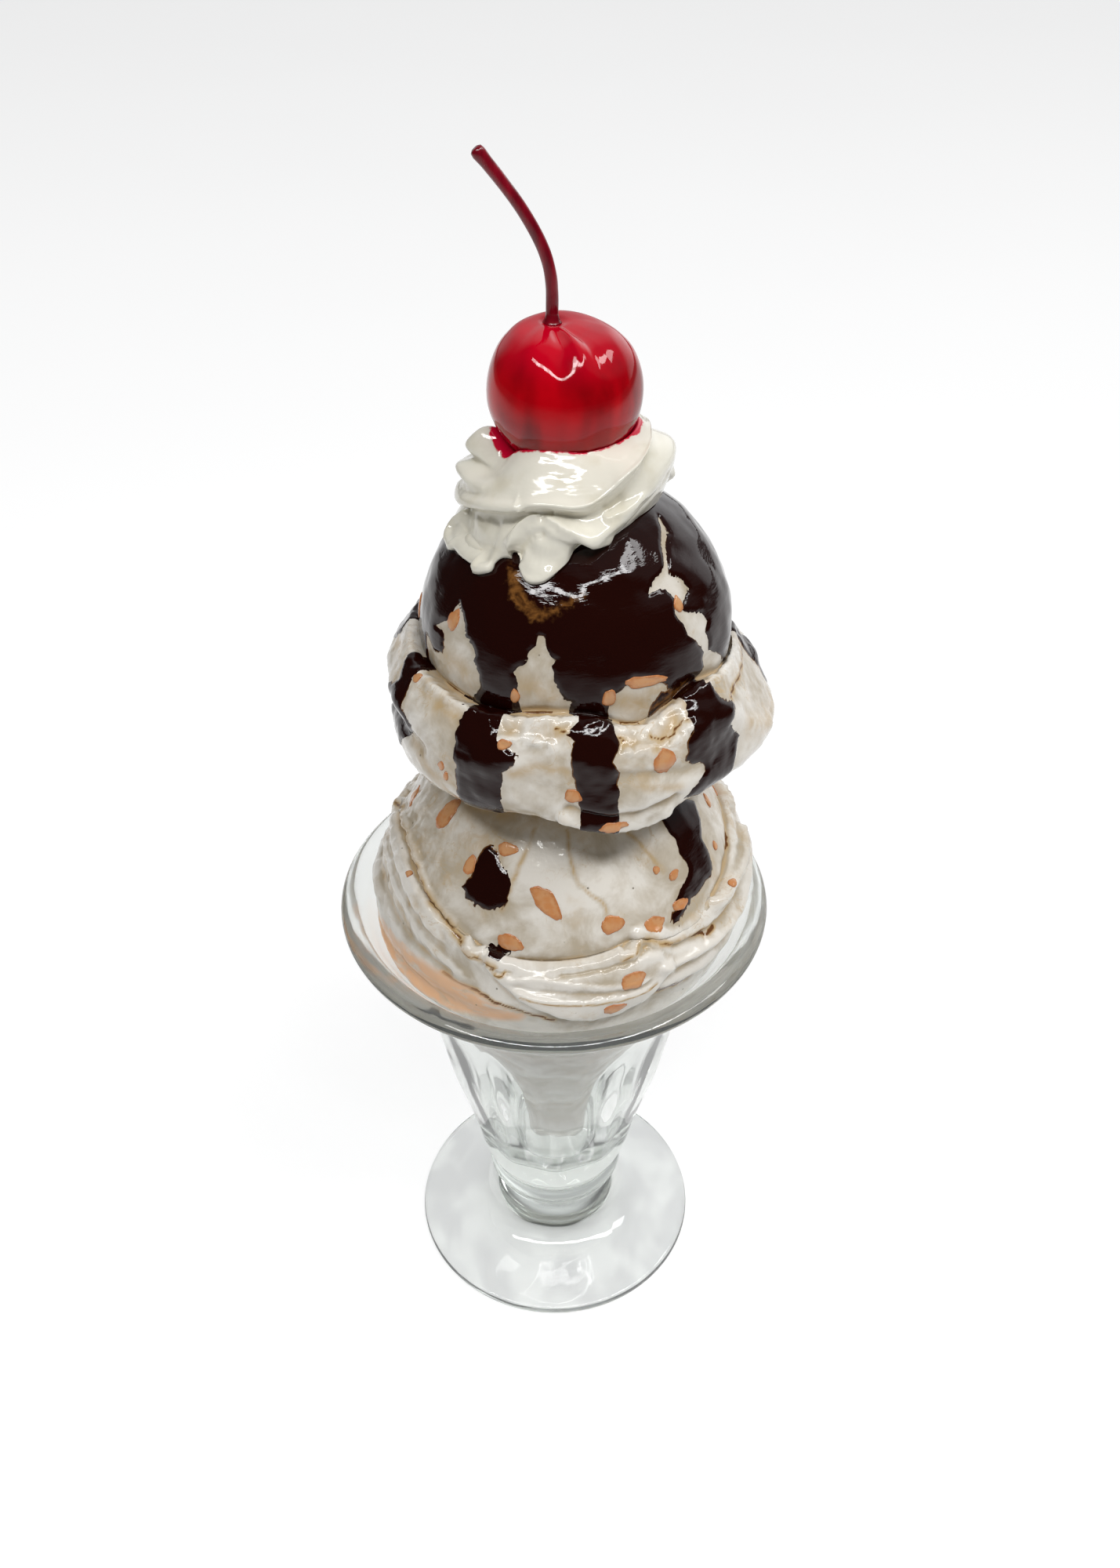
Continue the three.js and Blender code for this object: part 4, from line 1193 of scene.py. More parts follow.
top_radius = ring(
    (-150, 13.6), (-130, 13.6), (-112, 14.2), (-100, 15), (-92, 15.9), (-84, 15.8), (-76, 14.4),
    (-68, 12.9), (-60, 12.5), (-48, 12.8), (-34, 13), (0, 13.1), (40, 13.1), (60, 13.4), (85, 13.8),
    (110, 13.8),
)
top_height = ring(
    (-150, 238), (-130, 236.4), (-112, 235), (-100, 236.2), (-92, 237.4), (-84, 238.2), (-76, 237.2),
    (-68, 235), (-60, 235), (-48, 236.8), (-32, 238.2), (-15, 239), (0, 238.8), (14, 238.4), (26, 238.6),
    (45, 238.8), (62, 239), (85, 239.2), (120, 239),
)
# What the band above the ridge has besides: two fins at the left, with a gap between them, and else a
# shallow hollow.
notch_out = ring(
    (-120, -0.6), (-95, -0.6), (-82, -0.5), (-60, -0.1), (-30, -0.3), (0, -0.4), (35, 0), (180, 0),
)
notch_up = ring((-120, 0.6), (-97, 0.8), (-84, 0.9), (-60, 0.4), (-30, 0), (90, 0), (200, 0.4))
low_fin_out = ring(
    (-150, 0.2), (-120, 0.8), (-100, 1.6), (-84, 2), (-72, 1.8), (-60, 0.8), (-44, 0), (0, -0.3), (40, 0),
    (160, 0),
)
low_fin_up = ring((-120, 0.4), (-84, 0.9), (-64, 0.8), (-46, 0), (90, 0), (200, 0))
gap_out = ring((-130, 0), (-100, -0.4), (-84, -0.4), (-70, -0.6), (-50, -0.2), (0, -0.3), (40, 0), (160, 0))
gap_up = ring((-130, 0), (-84, 0), (-72, 0.6), (-58, 0.4), (-46, 0), (90, 0), (200, 0))
high_fin_out = ring(
    (-140, 0.2), (-118, 0.8), (-97, 1.6), (-84, 2), (-76, 1.6), (-66, 0.2), (-50, 0), (40, 0), (160, 0),
)
high_fin_up = ring((-140, 0), (-97, -0.2), (-84, -0.4), (-64, 0), (90, 0))
# The band's stops, as shares of the way from the ridge to the top's rim, with what each adds out and up.
BAND = [
    (0.15, notch_out, notch_up),
    (0.36, low_fin_out, low_fin_up),
    (0.56, gap_out, gap_up),
    (0.8, high_fin_out, high_fin_up),
]
CONTACT = 0.3  # how far the cherry is pressed into the cream
RIM_DROP = 0.15  # how far the bed starts below the top's rim

CREAM_FOLDS = [
    Fold(
        [
            (-96, 225.4), (-82, 225.4), (-70, 226.5), (-59, 227.8), (-42, 229.5), (-32, 230.4),
            (-20, 231.6), (-8, 232), (4, 231.7), (14, 232.3), (22, 233.8), (28, 235.4), (34, 236.8),
            (42, 237.8),
        ],
        0.8, 1.2, 0.55, 0, 0.3,
    ),
    Fold(
        [(-11, 228.3), (-7, 228), (-2, 227.2), (4, 226.4), (10, 225.2), (16, 224.2), (24, 223.8)],
        1.2, 1.3, 0.7, 0, 0.2,
    ),
    Fold([(-12, 226), (-4, 224.8), (4, 223.6), (12, 222.6)], -0.7, 1.0, 2.0),
    Fold([(-18, 228.2), (-22, 227.4), (-27, 225.6), (-31, 223), (-34, 220.4), (-37, 218)], 1.4, 0.8, 1.1),
    Fold([(-14, 226.8), (-20, 225.8), (-24, 224), (-27, 221.6), (-28, 219)], -0.9, 1.1, 0.8),
    Fold(
        [(-84, 221), (-87, 218), (-80, 216.6), (-70, 216.4), (-60, 216.6), (-50, 216.9), (-41, 217.8)],
        1.2, 0.7, 0.9,
    ),
    Fold([(-74, 220), (-62, 220), (-50, 220.4)], -1.3, 2.2, 1.7),
    Fold([(-20, 223), (-14, 222.4), (-7, 222)], -0.9, 1.9, 1.7),
    Fold([(-46, 224.6), (-45, 222), (-44, 219)], -0.7, 1.4, 1.4),
    Fold([(-24, 219.6), (-20, 218.2), (-13, 218.4), (-8, 219.6)], 0.5, 0.8, 0.8),
    Fold([(-50, 235.6), (-38, 236.2), (-22, 236), (-9, 235.8), (3, 235.4)], 0.4, 0.8, 1.0),
    Fold([(-70, 229), (-47, 231.6), (-27, 233.2), (-12, 233.4), (3, 233.6)], 0.25, 0.7, 0.7),
    Fold([(62, 238.8), (52, 237.8), (43, 236.8), (33, 235.9), (22, 235.4), (8, 235.6)], -0.5, 0.6, 0.6),
    Fold([(70, 238.4), (60, 236.8), (50, 234.6), (42, 232.8), (33, 231), (24, 229.8)], -0.45, 0.8, 0.8),
    Fold([(74, 236.4), (64, 234.4), (54, 232.4), (44, 230.6), (34, 229.2), (24, 228)], 0.45, 0.7, 0.8),
    Fold([(74, 231), (62, 229.4), (50, 227.6), (40, 226.2)], -0.4, 0.9, 0.9),
    Fold([(100, 227), (130, 223), (165, 221), (200, 221.6), (235, 220)], 1.3, 2.0, 1.2),
    Fold([(110, 229.6), (140, 226.6), (170, 225), (200, 225.4), (230, 224)], -0.9, 1.0, 1.2),
    Fold([(140, 236.4), (180, 235), (220, 235.6), (240, 236.4)], 1.0, 1.0, 1.4),
]


def cream_controls(sizes):
    upper_ball = Ball(UPPER_X, UPPER_HEIGHT, sizes.upper_radius / MM)
    bed = sizes.cherry_radius / MM - CONTACT

    def over(radius):
        return over_ball(upper_ball, CREAM_X, radius)

    def in_bed(share):
        """The cherry's bed, at a share of the radius at which the top's rim meets the cherry."""

        def radius(azimuth):
            below_middle = CHERRY_HEIGHT - top_height(azimuth) + RIM_DROP
            return share * np.sqrt(bed**2 - below_middle**2)

        return radius, lambda azimuth: CHERRY_HEIGHT - np.sqrt(bed**2 - radius(azimuth) ** 2)

    def on_band(share, out, up):
        return partway(ridge_radius, top_radius, share, out), partway(ridge_height, top_height, share, up)

    hem = raised(cream_edge, -0.9)
    return [
        *((radius, over(radius)) for radius in (0, 6, 11.5, 15)),
        (hem, raised(over(hem), 0.1)),
        (cream_edge, raised(over(cream_edge), 1.4)),
        (roll_radius, roll_height),
        (groove_radius, groove_height),
        (raised(ridge_radius, -0.5), raised(ridge_height, -1)),
        (ridge_radius, ridge_height),
        *(on_band(*stop) for stop in BAND),
        (top_radius, top_height),
        *(in_bed(share) for share in (1, 0.7, 0.35, 0)),
    ]


# How far the red runs out from the cherry over the cream, as (azimuth, millimetres).
red_reach = ring(
    (-110, 0.6), (-92, 0.8), (-82, 1.2), (-72, 2), (-60, 2.1), (-48, 0.6), (-30, 0.25), (0, 0.3),
    (20, 0.2), (50, 0.3), (62, 0.8), (85, 1.4), (100, 0.6), (150, 0.5), (220, 0.8),
)


def whipped_cream(sizes):
    skin = Skin(cream_controls(sizes), CREAM_COLUMNS, CREAM_ROWS, CREAM_X, finer_above(216, 0.5))
    from_cherry = np.hypot(skin.points[..., 0] - CHERRY_X, skin.points[..., 1])
    from_cherry = np.hypot(from_cherry, skin.points[..., 2] - CHERRY_HEIGHT) - sizes.cherry_radius / MM
    skin.carve(CREAM_FOLDS)
    skin.roughen(0.25, 7, seed=21, share=smooth(from_cherry, 0, 1.5), octaves=2)
    skin.fields = {"hollow": skin.hollows(), "red": red_reach(skin.azimuth) - from_cherry}
    return skin.mesh("cream_swirl")


# Random darker clouds in the cream, and painted shade in its hollows.
CREAM_CLOUDS_AND_SHADE = srgb(190, 178, 144)
RED_STAIN = srgb(205, 12, 52)


def cream_material(colours):
    """Warm white glaze with random darker clouds and painted shade in its hollows, and stained red round the
    cherry.
    """
    material, tree, shader, where = new_material("whipped cream glaze")
    clouds = stepped(tree, noise_at(tree, where, 130.0, 4.0), 0.5, 0.75, 0.0, 0.35)
    # Painted shade: the hollows are drawn darker, as if shaded.
    hollow = stepped(tree, attribute(tree, "hollow"), 0.05, 0.7, 0.0, 0.7)
    shade = maths(tree, "MAXIMUM", clouds, hollow)
    tint = tinted(tree, shade, rgba(colours.cream), rgba(CREAM_CLOUDS_AND_SHADE))
    wander = maths(tree, "MULTIPLY", centred(tree, noise_at(tree, where, 500.0, 3.0)), 1.6)
    red = stepped(tree, maths(tree, "ADD", attribute(tree, "red"), wander), -0.1, 0.25)
    tint = tinted(tree, red, tint, rgba(RED_STAIN))
    tree.links.new(tint, shader.inputs["Base Color"])
    gloss = stepped(tree, noise_at(tree, where, 180.0), 0.3, 0.8, 0.06, 0.16)
    tree.links.new(gloss, shader.inputs["Roughness"])
    peel = bumped(tree, noise_at(tree, stretched(tree, where, (0.5, 0.5, 1.8)), 280.0, 2.0), 0.00014)
    tree.links.new(peel, shader.inputs["Normal"])
    return material


# ---- Cherry and stem ----

CHERRY_COLUMNS = 240
CHERRY_ROWS = 140
STEM_FOOT = (0.1, 2.5, 256.9)
STEM_SIDES = 24
STEM_STEPS = 90
# The stem's middle line over its foot, as (across, up).
STEM_LINE = [(-0.1, -0.1), (-0.1, 4), (-0.3, 8), (-1.5, 12.6), (-4.6, 18.6), (-8.5, 24), (-12.9, 29.4)]
# The stem's radius along it, as (share of the way, share of its size).
STEM_SWELL = [
    (0, 1.6),
    (0.03, 1.3),
    (0.08, 1.04),
    (0.3, 0.98),
    (0.7, 0.98),
    (0.92, 1.02),
    (0.965, 1.16),
    (0.99, 1.0),
    (1, 0.6),
]
STEM_UNEVENNESS = 0.06

RIB_ROOM = 0.2  # how much the whole cherry is drawn in to make room for its ribs
# Soft ribs and clefts that run down from the cherry's top, as (azimuth, millimetres).
cherry_ribs = ring(
    (-170, 0.2), (-140, 0), (-105, 0.15), (-80, 0), (-58, 0), (-36, 0.4), (-17, 0.1), (-3, -0.5),
    (6, -0.15), (15, 0.45), (23, 0.1), (32, -0.45), (46, -0.3), (66, 0), (90, -0.1), (115, -0.3),
    (140, -0.2),
)


def cherry(sizes):
    """A ball with a flattened, ribbed top whose dimple leans towards the stem's foot."""
    radius = sizes.cherry_radius / MM
    lifts = [math.radians(lift) for lift in (-68, -50, -32, -15, 0, 15, 30)]
    controls = [
        (0, CHERRY_HEIGHT - radius),
        *((radius * math.cos(lift), CHERRY_HEIGHT + radius * math.sin(lift)) for lift in lifts),
        (10.4, 255.3),
        (8.3, 256.7),
        (5.7, 257.3),
        (3.2, 257.4),
        (1.6, STEM_FOOT[2] + 0.1),
        (0, STEM_FOOT[2]),
    ]
    skin = Skin(controls, CHERRY_COLUMNS, CHERRY_ROWS)
    height = skin.points[..., 2]
    from_axis = np.hypot(skin.points[..., 0], skin.points[..., 1])
    share = np.where(height > CHERRY_HEIGHT, 1 - smooth(from_axis, 1, 11), 0)
    skin.points[..., 0] += mix(CHERRY_X, STEM_FOOT[0], share)
    skin.points[..., 1] += STEM_FOOT[1] * share
    from_stem = np.hypot(skin.points[..., 0] - STEM_FOOT[0], skin.points[..., 1] - STEM_FOOT[1])
    on_top = smooth(height, 250.5, 255.3) * smooth(from_stem, 2, 8)
    skin.press(cherry_ribs(skin.azimuth) * on_top - RIB_ROOM)
    skin.roughen(0.1, 9, seed=31, octaves=2)
    return skin.mesh("cherry_glazed")


def cherry_material(colours):
    """Deep red glaze with upright streaks and blotches, with painted shade that darkens it low down and a
    painted reflection, a bluer red, round the top.
    """
    material, tree, shader, where = new_material("cherry glaze")
    to_middle = (-CHERRY_X * MM, 0.0, -CHERRY_HEIGHT * MM)
    around = put(tree, "Mapping", {"Vector": where, "Location": to_middle}).outputs[0]
    streaked = noise_at(tree, stretched(tree, around, (1.0, 1.0, 0.16)), 190.0, 2.0, 0.5, 0.3)
    blotch = noise_at(tree, around, 90.0, 3.0)
    streaks = stepped(tree, streaked, 0.35, 0.7, 0.0, 0.4)
    depth = maths(tree, "ADD", streaks, stepped(tree, blotch, 0.35, 0.7, 0.0, 0.5))
    # Painted shade: the cherry is darker towards its bottom.
    low = stepped(tree, height_of(tree, around), 0.004, -0.012, 0.0, 0.5)
    depth = maths(tree, "ADD", depth, low, clamp=True)
    tint = tinted(tree, depth, rgba(colours.cherry), rgba(colours.cherry_dark_and_shade))
    # Painted reflection: a bluer red round the top, for the bright room's sheen.
    high = stepped(tree, height_of(tree, around), 0.004, 0.012, 0.0, 0.6)
    tint = tinted(tree, high, tint, rgba(colours.cherry_painted_sheen))
    tree.links.new(tint, shader.inputs["Base Color"])
    tree.links.new(stepped(tree, blotch, 0.2, 0.8, 0.03, 0.08), shader.inputs["Roughness"])
    shader.inputs["IOR"].default_value = 1.4
    tree.links.new(bumped(tree, streaked, 0.00005), shader.inputs["Normal"])
    return material


def stem(sizes):
    """A bent rod: a ring of vertices that is extruded along the stem's line and capped at both ends."""
    line = np.array([(STEM_FOOT[0] + x, STEM_FOOT[2] + rise) for x, rise in STEM_LINE])
    centres = catmull(line, np.linspace(0, len(line) - 1, STEM_STEPS + 1))
    runs = np.gradient(centres, axis=0)
    runs /= np.linalg.norm(runs, axis=1, keepdims=True)
    shares, swells = np.array(STEM_SWELL).T
    rod = bmesh.new()
    bmesh.ops.create_circle(rod, segments=STEM_SIDES, radius=1, cap_ends=True)
    base = rod.faces[:]
    rod.faces.ensure_lookup_table()
    section = [vert.co.copy() for vert in rod.faces[0].verts]
    verts = list(rod.faces[0].verts)
    for step in range(STEM_STEPS + 1):
        if step:
            touching = {edge for vert in verts for edge in vert.link_edges}
            edges = [edge for edge in touching if all(vert in verts for vert in edge.verts)]
            made = bmesh.ops.extrude_edge_only(rod, edges=edges)["geom"]
            ahead = {vert for vert in made if isinstance(vert, bmesh.types.BMVert)}
            linked = [{edge.other_vert(vert) for edge in vert.link_edges} for vert in verts]
            verts = [(ahead & others).pop() for others in linked]
        swell = np.interp(step / STEM_STEPS, shares, swells) * sizes.stem_radius / MM
        run = runs[step]
        for vert, at in zip(verts, section):
            across = at.x * swell
            knob = 1 + STEM_UNEVENNESS * noise.noise(Vector((at.x, at.y, step * 0.09)))
            place = (
                centres[step][0] + across * run[1] * knob,
                STEM_FOOT[1] + at.y * swell * knob,
                centres[step][1] - across * run[0] * knob,
            )
            vert.co = Vector(place) * MM
    tip = bmesh.ops.contextual_create(rod, geom=verts)["faces"]
    for cap in tip + [face for face in base if face.is_valid]:
        bmesh.ops.inset_individual(rod, faces=[cap], thickness=0.25 * MM, depth=0.0)
    bmesh.ops.recalc_face_normals(rod, faces=rod.faces)
    mesh = bpy.data.meshes.new("stem_glazed")
    rod.to_mesh(mesh)
    rod.free()
    mesh.shade_smooth()
    return mesh


STEM_STREAK = srgb(128, 8, 28)


def stem_material(colours):
    """Dark crimson glaze, streaked along the stem."""
    material, tree, shader, where = new_material("stem glaze")
    streak = noise_at(tree, stretched(tree, where, (1.0, 1.0, 0.15)), 700.0, 4.0)
    tint = tinted(tree, stepped(tree, streak, 0.3, 0.7), rgba(colours.stem), rgba(STEM_STREAK))
    tree.links.new(tint, shader.inputs["Base Color"])
    tree.links.new(stepped(tree, streak, 0.2, 0.8, 0.1, 0.25), shader.inputs["Roughness"])
    tree.links.new(bumped(tree, streak, 0.00015), shader.inputs["Normal"])
    return material


# ---- Nut chips ----

Chip = namedtuple("Chip", "azimuth height tilt length width")

LOWER_CHIPS = [
    Chip(-61, 156, 84, 8.2, 4.4),
    Chip(-24, 156, 14, 4.4, 3),
    Chip(-37.5, 151.5, 90, 4.4, 2.8),
    Chip(-5.5, 148.3, -50, 8.8, 3.8),
    Chip(16.5, 143.5, 8, 5.2, 3.8),
    Chip(30.5, 140.6, 15, 5.6, 4),
    Chip(-16.7, 139.4, -6, 5.8, 3.6),
    Chip(42.5, 142.2, 0, 4.4, 2.6),
    Chip(19.8, 133.5, 12, 5.8, 3.8),
    Chip(14.2, 127.4, 8, 5.2, 3),
    Chip(37, 150.5, 0, 1.8, 1.7),
    Chip(43.7, 148, 20, 3, 2),
    Chip(84, 151, 60, 3.6, 2),
    Chip(69.6, 145.6, 80, 2.2, 1.6),
    Chip(65.5, 138.8, 0, 2.6, 2.2),
    Chip(-61, 142.9, 80, 2.2, 1.6),
]
UPPER_CHIPS = [
    Chip(-53, 207, 76, 4.6, 3),
    Chip(-21.8, 197.5, 90, 3.2, 1.8),
    Chip(24.5, 200.2, -8, 9.4, 2.4),
    Chip(11, 198, 78, 3.8, 2.6),
    Chip(45, 211.2, 80, 3.2, 2.2),
    Chip(-20.6, 191.2, 12, 3, 2.2),
    Chip(24.5, 187.4, 80, 5.4, 4.6),
    Chip(-1, 181.6, -14, 3.4, 2.8),
    Chip(10, 174.6, 0, 6, 2.2),
    Chip(-40.6, 182, 70, 2.4, 1.6),
    Chip(-39, 180, 80, 2.4, 1.2),
    Chip(-62, 193, 60, 2.6, 1.8),
]
BACK = (85, 275)  # azimuths between which the back's chips lie
BACK_CHIPS = 7
BACK_LENGTHS = (7.4, 4.4)
SMALL_BACK_CHIPS = 6
SMALL_BACK_LENGTHS = (3.4, 2)
EVEN_STEPS = (0.618, 0.755, 0.57)  # steps that spread azimuths, heights and tilts evenly
CHIP_SLENDERNESS = 0.52


def back_chips(low, high, amount, lengths, start):
    """Chips spread evenly over the back between two heights, the largest first."""
    chips = []
    for i in range(amount):
        size = mix(*lengths, i / max(amount - 1, 1))
        around, up, turn = ((start + i * step) % 1 for step in EVEN_STEPS)
        chips.append(Chip(mix(*BACK, around), mix(low, high, up), 180 * turn, size, CHIP_SLENDERNESS * size))
    return chips


def flake(shape, chip, tree, point, facing, thickness, seed):
    """Adds one chip to a bmesh: a flattened ball with a broken outline, laid on the skin."""
    azimuth = math.radians(chip.azimuth)
    level = Vector((math.cos(azimuth), math.sin(azimuth), 0))
    level = (level - facing * level.dot(facing)).normalized()
    rise = facing.cross(level)
    tilt = math.radians(chip.tilt)
    along = level * math.cos(tilt) + rise * math.sin(tilt)
    across = facing.cross(along)
    made = bmesh.ops.create_icosphere(shape, subdivisions=4 if chip.length > 4 else 3, radius=1)["verts"]
    edge_layer = shape.verts.layers.float["edge"]
    for vert in made:
        x, y, z = vert.co
        turn = math.atan2(y, x)
        outline = 1 + 0.16 * noise.noise(Vector((math.cos(turn) * 1.3, math.sin(turn) * 1.3, seed * 3.7)))
        outline += 0.1 * noise.noise(Vector((math.cos(turn) * 3.5, math.sin(turn) * 3.5, seed * 9.1)))
        narrowing = 1 - 0.28 * x
        flat = Vector(point) + along * (x * chip.length / 2 * outline * MM)
        flat += across * (y * chip.width / 2 * outline * narrowing * MM)
        ground, up, _, _ = tree.find_nearest(flat)
        top = math.copysign(abs(z) ** 0.55, z)
        dents = 0.12 * noise.noise(Vector((x * 2.2, y * 2.2, seed * 5.3)))
        lift = (top * 0.8 + dents) * thickness if z > 0 else top * 0.5 * MM
        vert[edge_layer] = math.hypot(x, y) + 0.5 * dents
        vert.co = ground + up * lift


def nut_chips(sizes):
    """All the chips as one mesh, each laid on its own scoop's finished skin."""
    shape = bmesh.new()
    shape.verts.layers.float.new("edge")
    groups = [
        ("lower_scoop_glazed", LOWER_X, LOWER_CHIPS + back_chips(140, 158, BACK_CHIPS, BACK_LENGTHS, 0.5)),
        ("upper_scoop_glazed", UPPER_X, UPPER_CHIPS + back_chips(186, 212, BACK_CHIPS, BACK_LENGTHS, 0.5)),
        ("lower_scoop_glazed", LOWER_X, back_chips(130, 160, SMALL_BACK_CHIPS, SMALL_BACK_LENGTHS, 0.23)),
        ("upper_scoop_glazed", UPPER_X, back_chips(176, 214, SMALL_BACK_CHIPS, SMALL_BACK_LENGTHS, 0.31)),
    ]
    for seed, (host, axis_x, chips) in enumerate(groups):
        mesh = bpy.data.objects[host].data
        tree = BVHTree.FromPolygons([v.co for v in mesh.vertices], [p.vertices for p in mesh.polygons])
        for i, chip in enumerate(chips):
            turn = math.radians(chip.azimuth)
            outward = Vector((math.sin(turn), -math.cos(turn), 0))
            centre = Vector((axis_x, 0, chip.height)) * MM
            point, facing, _, _ = tree.ray_cast(centre + outward * 60 * MM, -outward)
            flake(shape, chip, tree, point, facing, sizes.chip_thickness, seed * 20 + i + 1)
    mesh = bpy.data.meshes.new("nut_chips")
    shape.to_mesh(mesh)
    shape.free()
    mesh.shade_smooth()
    return mesh


NUT_PATCH = srgb(196, 122, 66)


def nut_material(colours):
    """Tan glaze that is darker at a chip's edge, with darker patches."""
    material, tree, shader, where = new_material("nut chip glaze")
    grain = noise_at(tree, where, 900.0, 4.0, 0.6)
    fray = maths(tree, "MULTIPLY", centred(tree, grain), 0.9)
    edge = maths(tree, "ADD", attribute(tree, "edge"), fray)
    tint = tinted(tree, stepped(tree, edge, 0.55, 1.1), rgba(colours.nut), rgba(colours.nut_edge))
    patch = stepped(tree, noise_at(tree, where, 350.0, 3.0), 0.45, 0.7, 0.0, 0.6)
    tint = tinted(tree, patch, tint, rgba(NUT_PATCH))
    tree.links.new(tint, shader.inputs["Base Color"])
    tree.links.new(stepped(tree, grain, 0.2, 0.8, 0.1, 0.25), shader.inputs["Roughness"])
    tree.links.new(bumped(tree, grain, 0.00008), shader.inputs["Normal"])
    return material


# ---- Stage ----

CAMERA_PLACE = (1.02, -249.59, 351.85)  # millimetres
CAMERA_PITCH = 38.554  # degrees below the horizon
CAMERA_TURN = -0.00153  # radians about the vertical
IMAGE_WIDTH, IMAGE_HEIGHT = 1429, 2000
FOCAL_PIXELS = 1824.2
SENSOR = 36.0  # millimetres

# Lights hang at a distance from the sundae's middle and face it. Their sizes and distances are in metres.
Softbox = namedtuple("Softbox", "name azimuth elevation distance width height power")

LIT_MIDDLE = (0, 0, 0.16)
PANES = 7
SOFTBOXES = [Softbox("right window", 102, 48, 1.5, 0.34, 0.26, 2.1)]
PANE = Softbox("pane", 12, 55, 1.5, 0.54, 0.15, 3.1)
PANE_SPREAD = 21.5  # degrees from one pane to the next
FLOOR_HALF_WIDTH = 6.0  # metres
FLOOR_CLOUD = srgb(186, 186, 186)
# A light table: the floor glows round a place behind the sundae, which keeps the glass on it clear.
FLOOR_GLOW = 0.68
GLOW_PLACE = (0, 1.1, 0)
GLOW_EDGE = (1.1, 1.9)  # metres from that place at which the glow starts to fade and ends


def place_light(box):
    """An area light that hangs round the sundae and faces its middle."""
    light = bpy.data.lights.new(box.name, "AREA")
    light.shape = "RECTANGLE"
    light.size = box.width
    light.size_y = box.height
    light.energy = box.power
    lamp = bpy.data.objects.new(box.name, light)
    azimuth, elevation = math.radians(box.azimuth), math.radians(box.elevation)
    level = math.cos(elevation)
    away = Vector((math.sin(azimuth) * level, -math.cos(azimuth) * level, math.sin(elevation)))
    turn = away.to_track_quat("Z", "Y").to_matrix().to_4x4()
    lamp.matrix_world = Matrix.Translation(Vector(LIT_MIDDLE) + away * box.distance) @ turn
    bpy.context.scene.collection.objects.link(lamp)


def floor_material(colours):
    """A pale, faintly clouded floor that glows round GLOW_PLACE."""
    material, tree, shader, where = new_material("pale floor")
    cloud = stepped(tree, noise_at(tree, where, 3.0, 2.0), 0.3, 0.7, 0.0, 0.2)
    tint = tinted(tree, cloud, rgba(colours.floor), rgba(FLOOR_CLOUD))
    tree.links.new(tint, shader.inputs["Base Color"])
    shader.inputs["Roughness"].default_value = 0.85
    shader.inputs["Specular IOR Level"].default_value = 0.1
    shader.inputs["Emission Color"].default_value = rgba((1.0, 1.0, 1.0))
    away = put(tree, "VectorMath", {0: where, 1: GLOW_PLACE}, operation="DISTANCE").outputs["Value"]
    tree.links.new(stepped(tree, away, *GLOW_EDGE, FLOOR_GLOW, 0.0), shader.inputs["Emission Strength"])
    material.cycles.emission_sampling = "NONE"
    return material


def lay_floor(colours):
    ground = bmesh.new()
    bmesh.ops.create_grid(ground, x_segments=1, y_segments=1, size=FLOOR_HALF_WIDTH)
    mesh = bpy.data.meshes.new("floor")
    ground.to_mesh(mesh)
    ground.free()
    mesh.materials.append(floor_material(colours))
    floor = bpy.data.objects.new("floor", mesh)
    bpy.context.scene.collection.objects.link(floor)


def place_camera():
    scene = bpy.context.scene
    camera = bpy.data.cameras.new("camera")
    camera.sensor_width = SENSOR
    camera.lens = FOCAL_PIXELS * SENSOR / max(IMAGE_WIDTH, IMAGE_HEIGHT)
    camera.clip_start = 0.01
    view = bpy.data.objects.new("camera", camera)
    view.location = Vector(CAMERA_PLACE) * MM
    view.rotation_euler = (math.radians(90 - CAMERA_PITCH), 0, CAMERA_TURN)
    scene.collection.objects.link(view)
    scene.camera = view
    scene.view_settings.view_transform = "Standard"
    scene.view_settings.look = "None"


# Bright parts of the room: the way to each, the cosines from it at which the glow starts and is full, and its
# strength.
GLOWS = [
    ((0.45, 0.35, 0.82), 0.6, 0.8, 0.2),
    ((0.64, 0.77, 0), 0.8, 0.95, 0.9),
    ((0, 0.94, 0.34), 0.6, 0.9, 0.5),
]
ROOM_LIGHT = 0.04


def room():
    """The light of a pale room: bright behind the sundae, and dim in front of it."""
    world = bpy.data.worlds.new("pale room")
    bpy.context.scene.world = world
    world.use_nodes = True
    tree = world.node_tree
    tree.nodes.clear()
    towards = put(tree, "TexCoord").outputs["Generated"]
    strength = ROOM_LIGHT
    for way, start, full, glow in GLOWS:
        facing = put(tree, "VectorMath", {0: towards, 1: way}, operation="DOT_PRODUCT").outputs["Value"]
        strength = maths(tree, "ADD", stepped(tree, facing, start, full, 0.0, glow), strength)
    light = put(tree, "Background", {"Color": (0.97, 0.985, 1.0, 1.0), "Strength": strength})
    put(tree, "OutputWorld", {"Surface": light.outputs[0]})


def stage(colours):
    lay_floor(colours)
    for box in SOFTBOXES:
        place_light(box)
    for i in range(PANES):
        turn = (i - (PANES - 1) / 2) * PANE_SPREAD
        place_light(PANE._replace(name=f"pane {i + 1}", azimuth=PANE.azimuth + turn))
    room()
    place_camera()


# ---- Operators ----


class SUNDAE_OT_glass(bpy.types.Operator):
    """Makes the fluted tulip glass on its foot"""

    bl_idname = "sundae.glass"
    bl_label = "Glass"

    def execute(self, context):
        mesh = glass_mesh(context.scene.sundae_sizes)
        piece("glass_clear", mesh, glass_material(context.scene.sundae_colours), "glass", "glass")
        return {"FINISHED"}


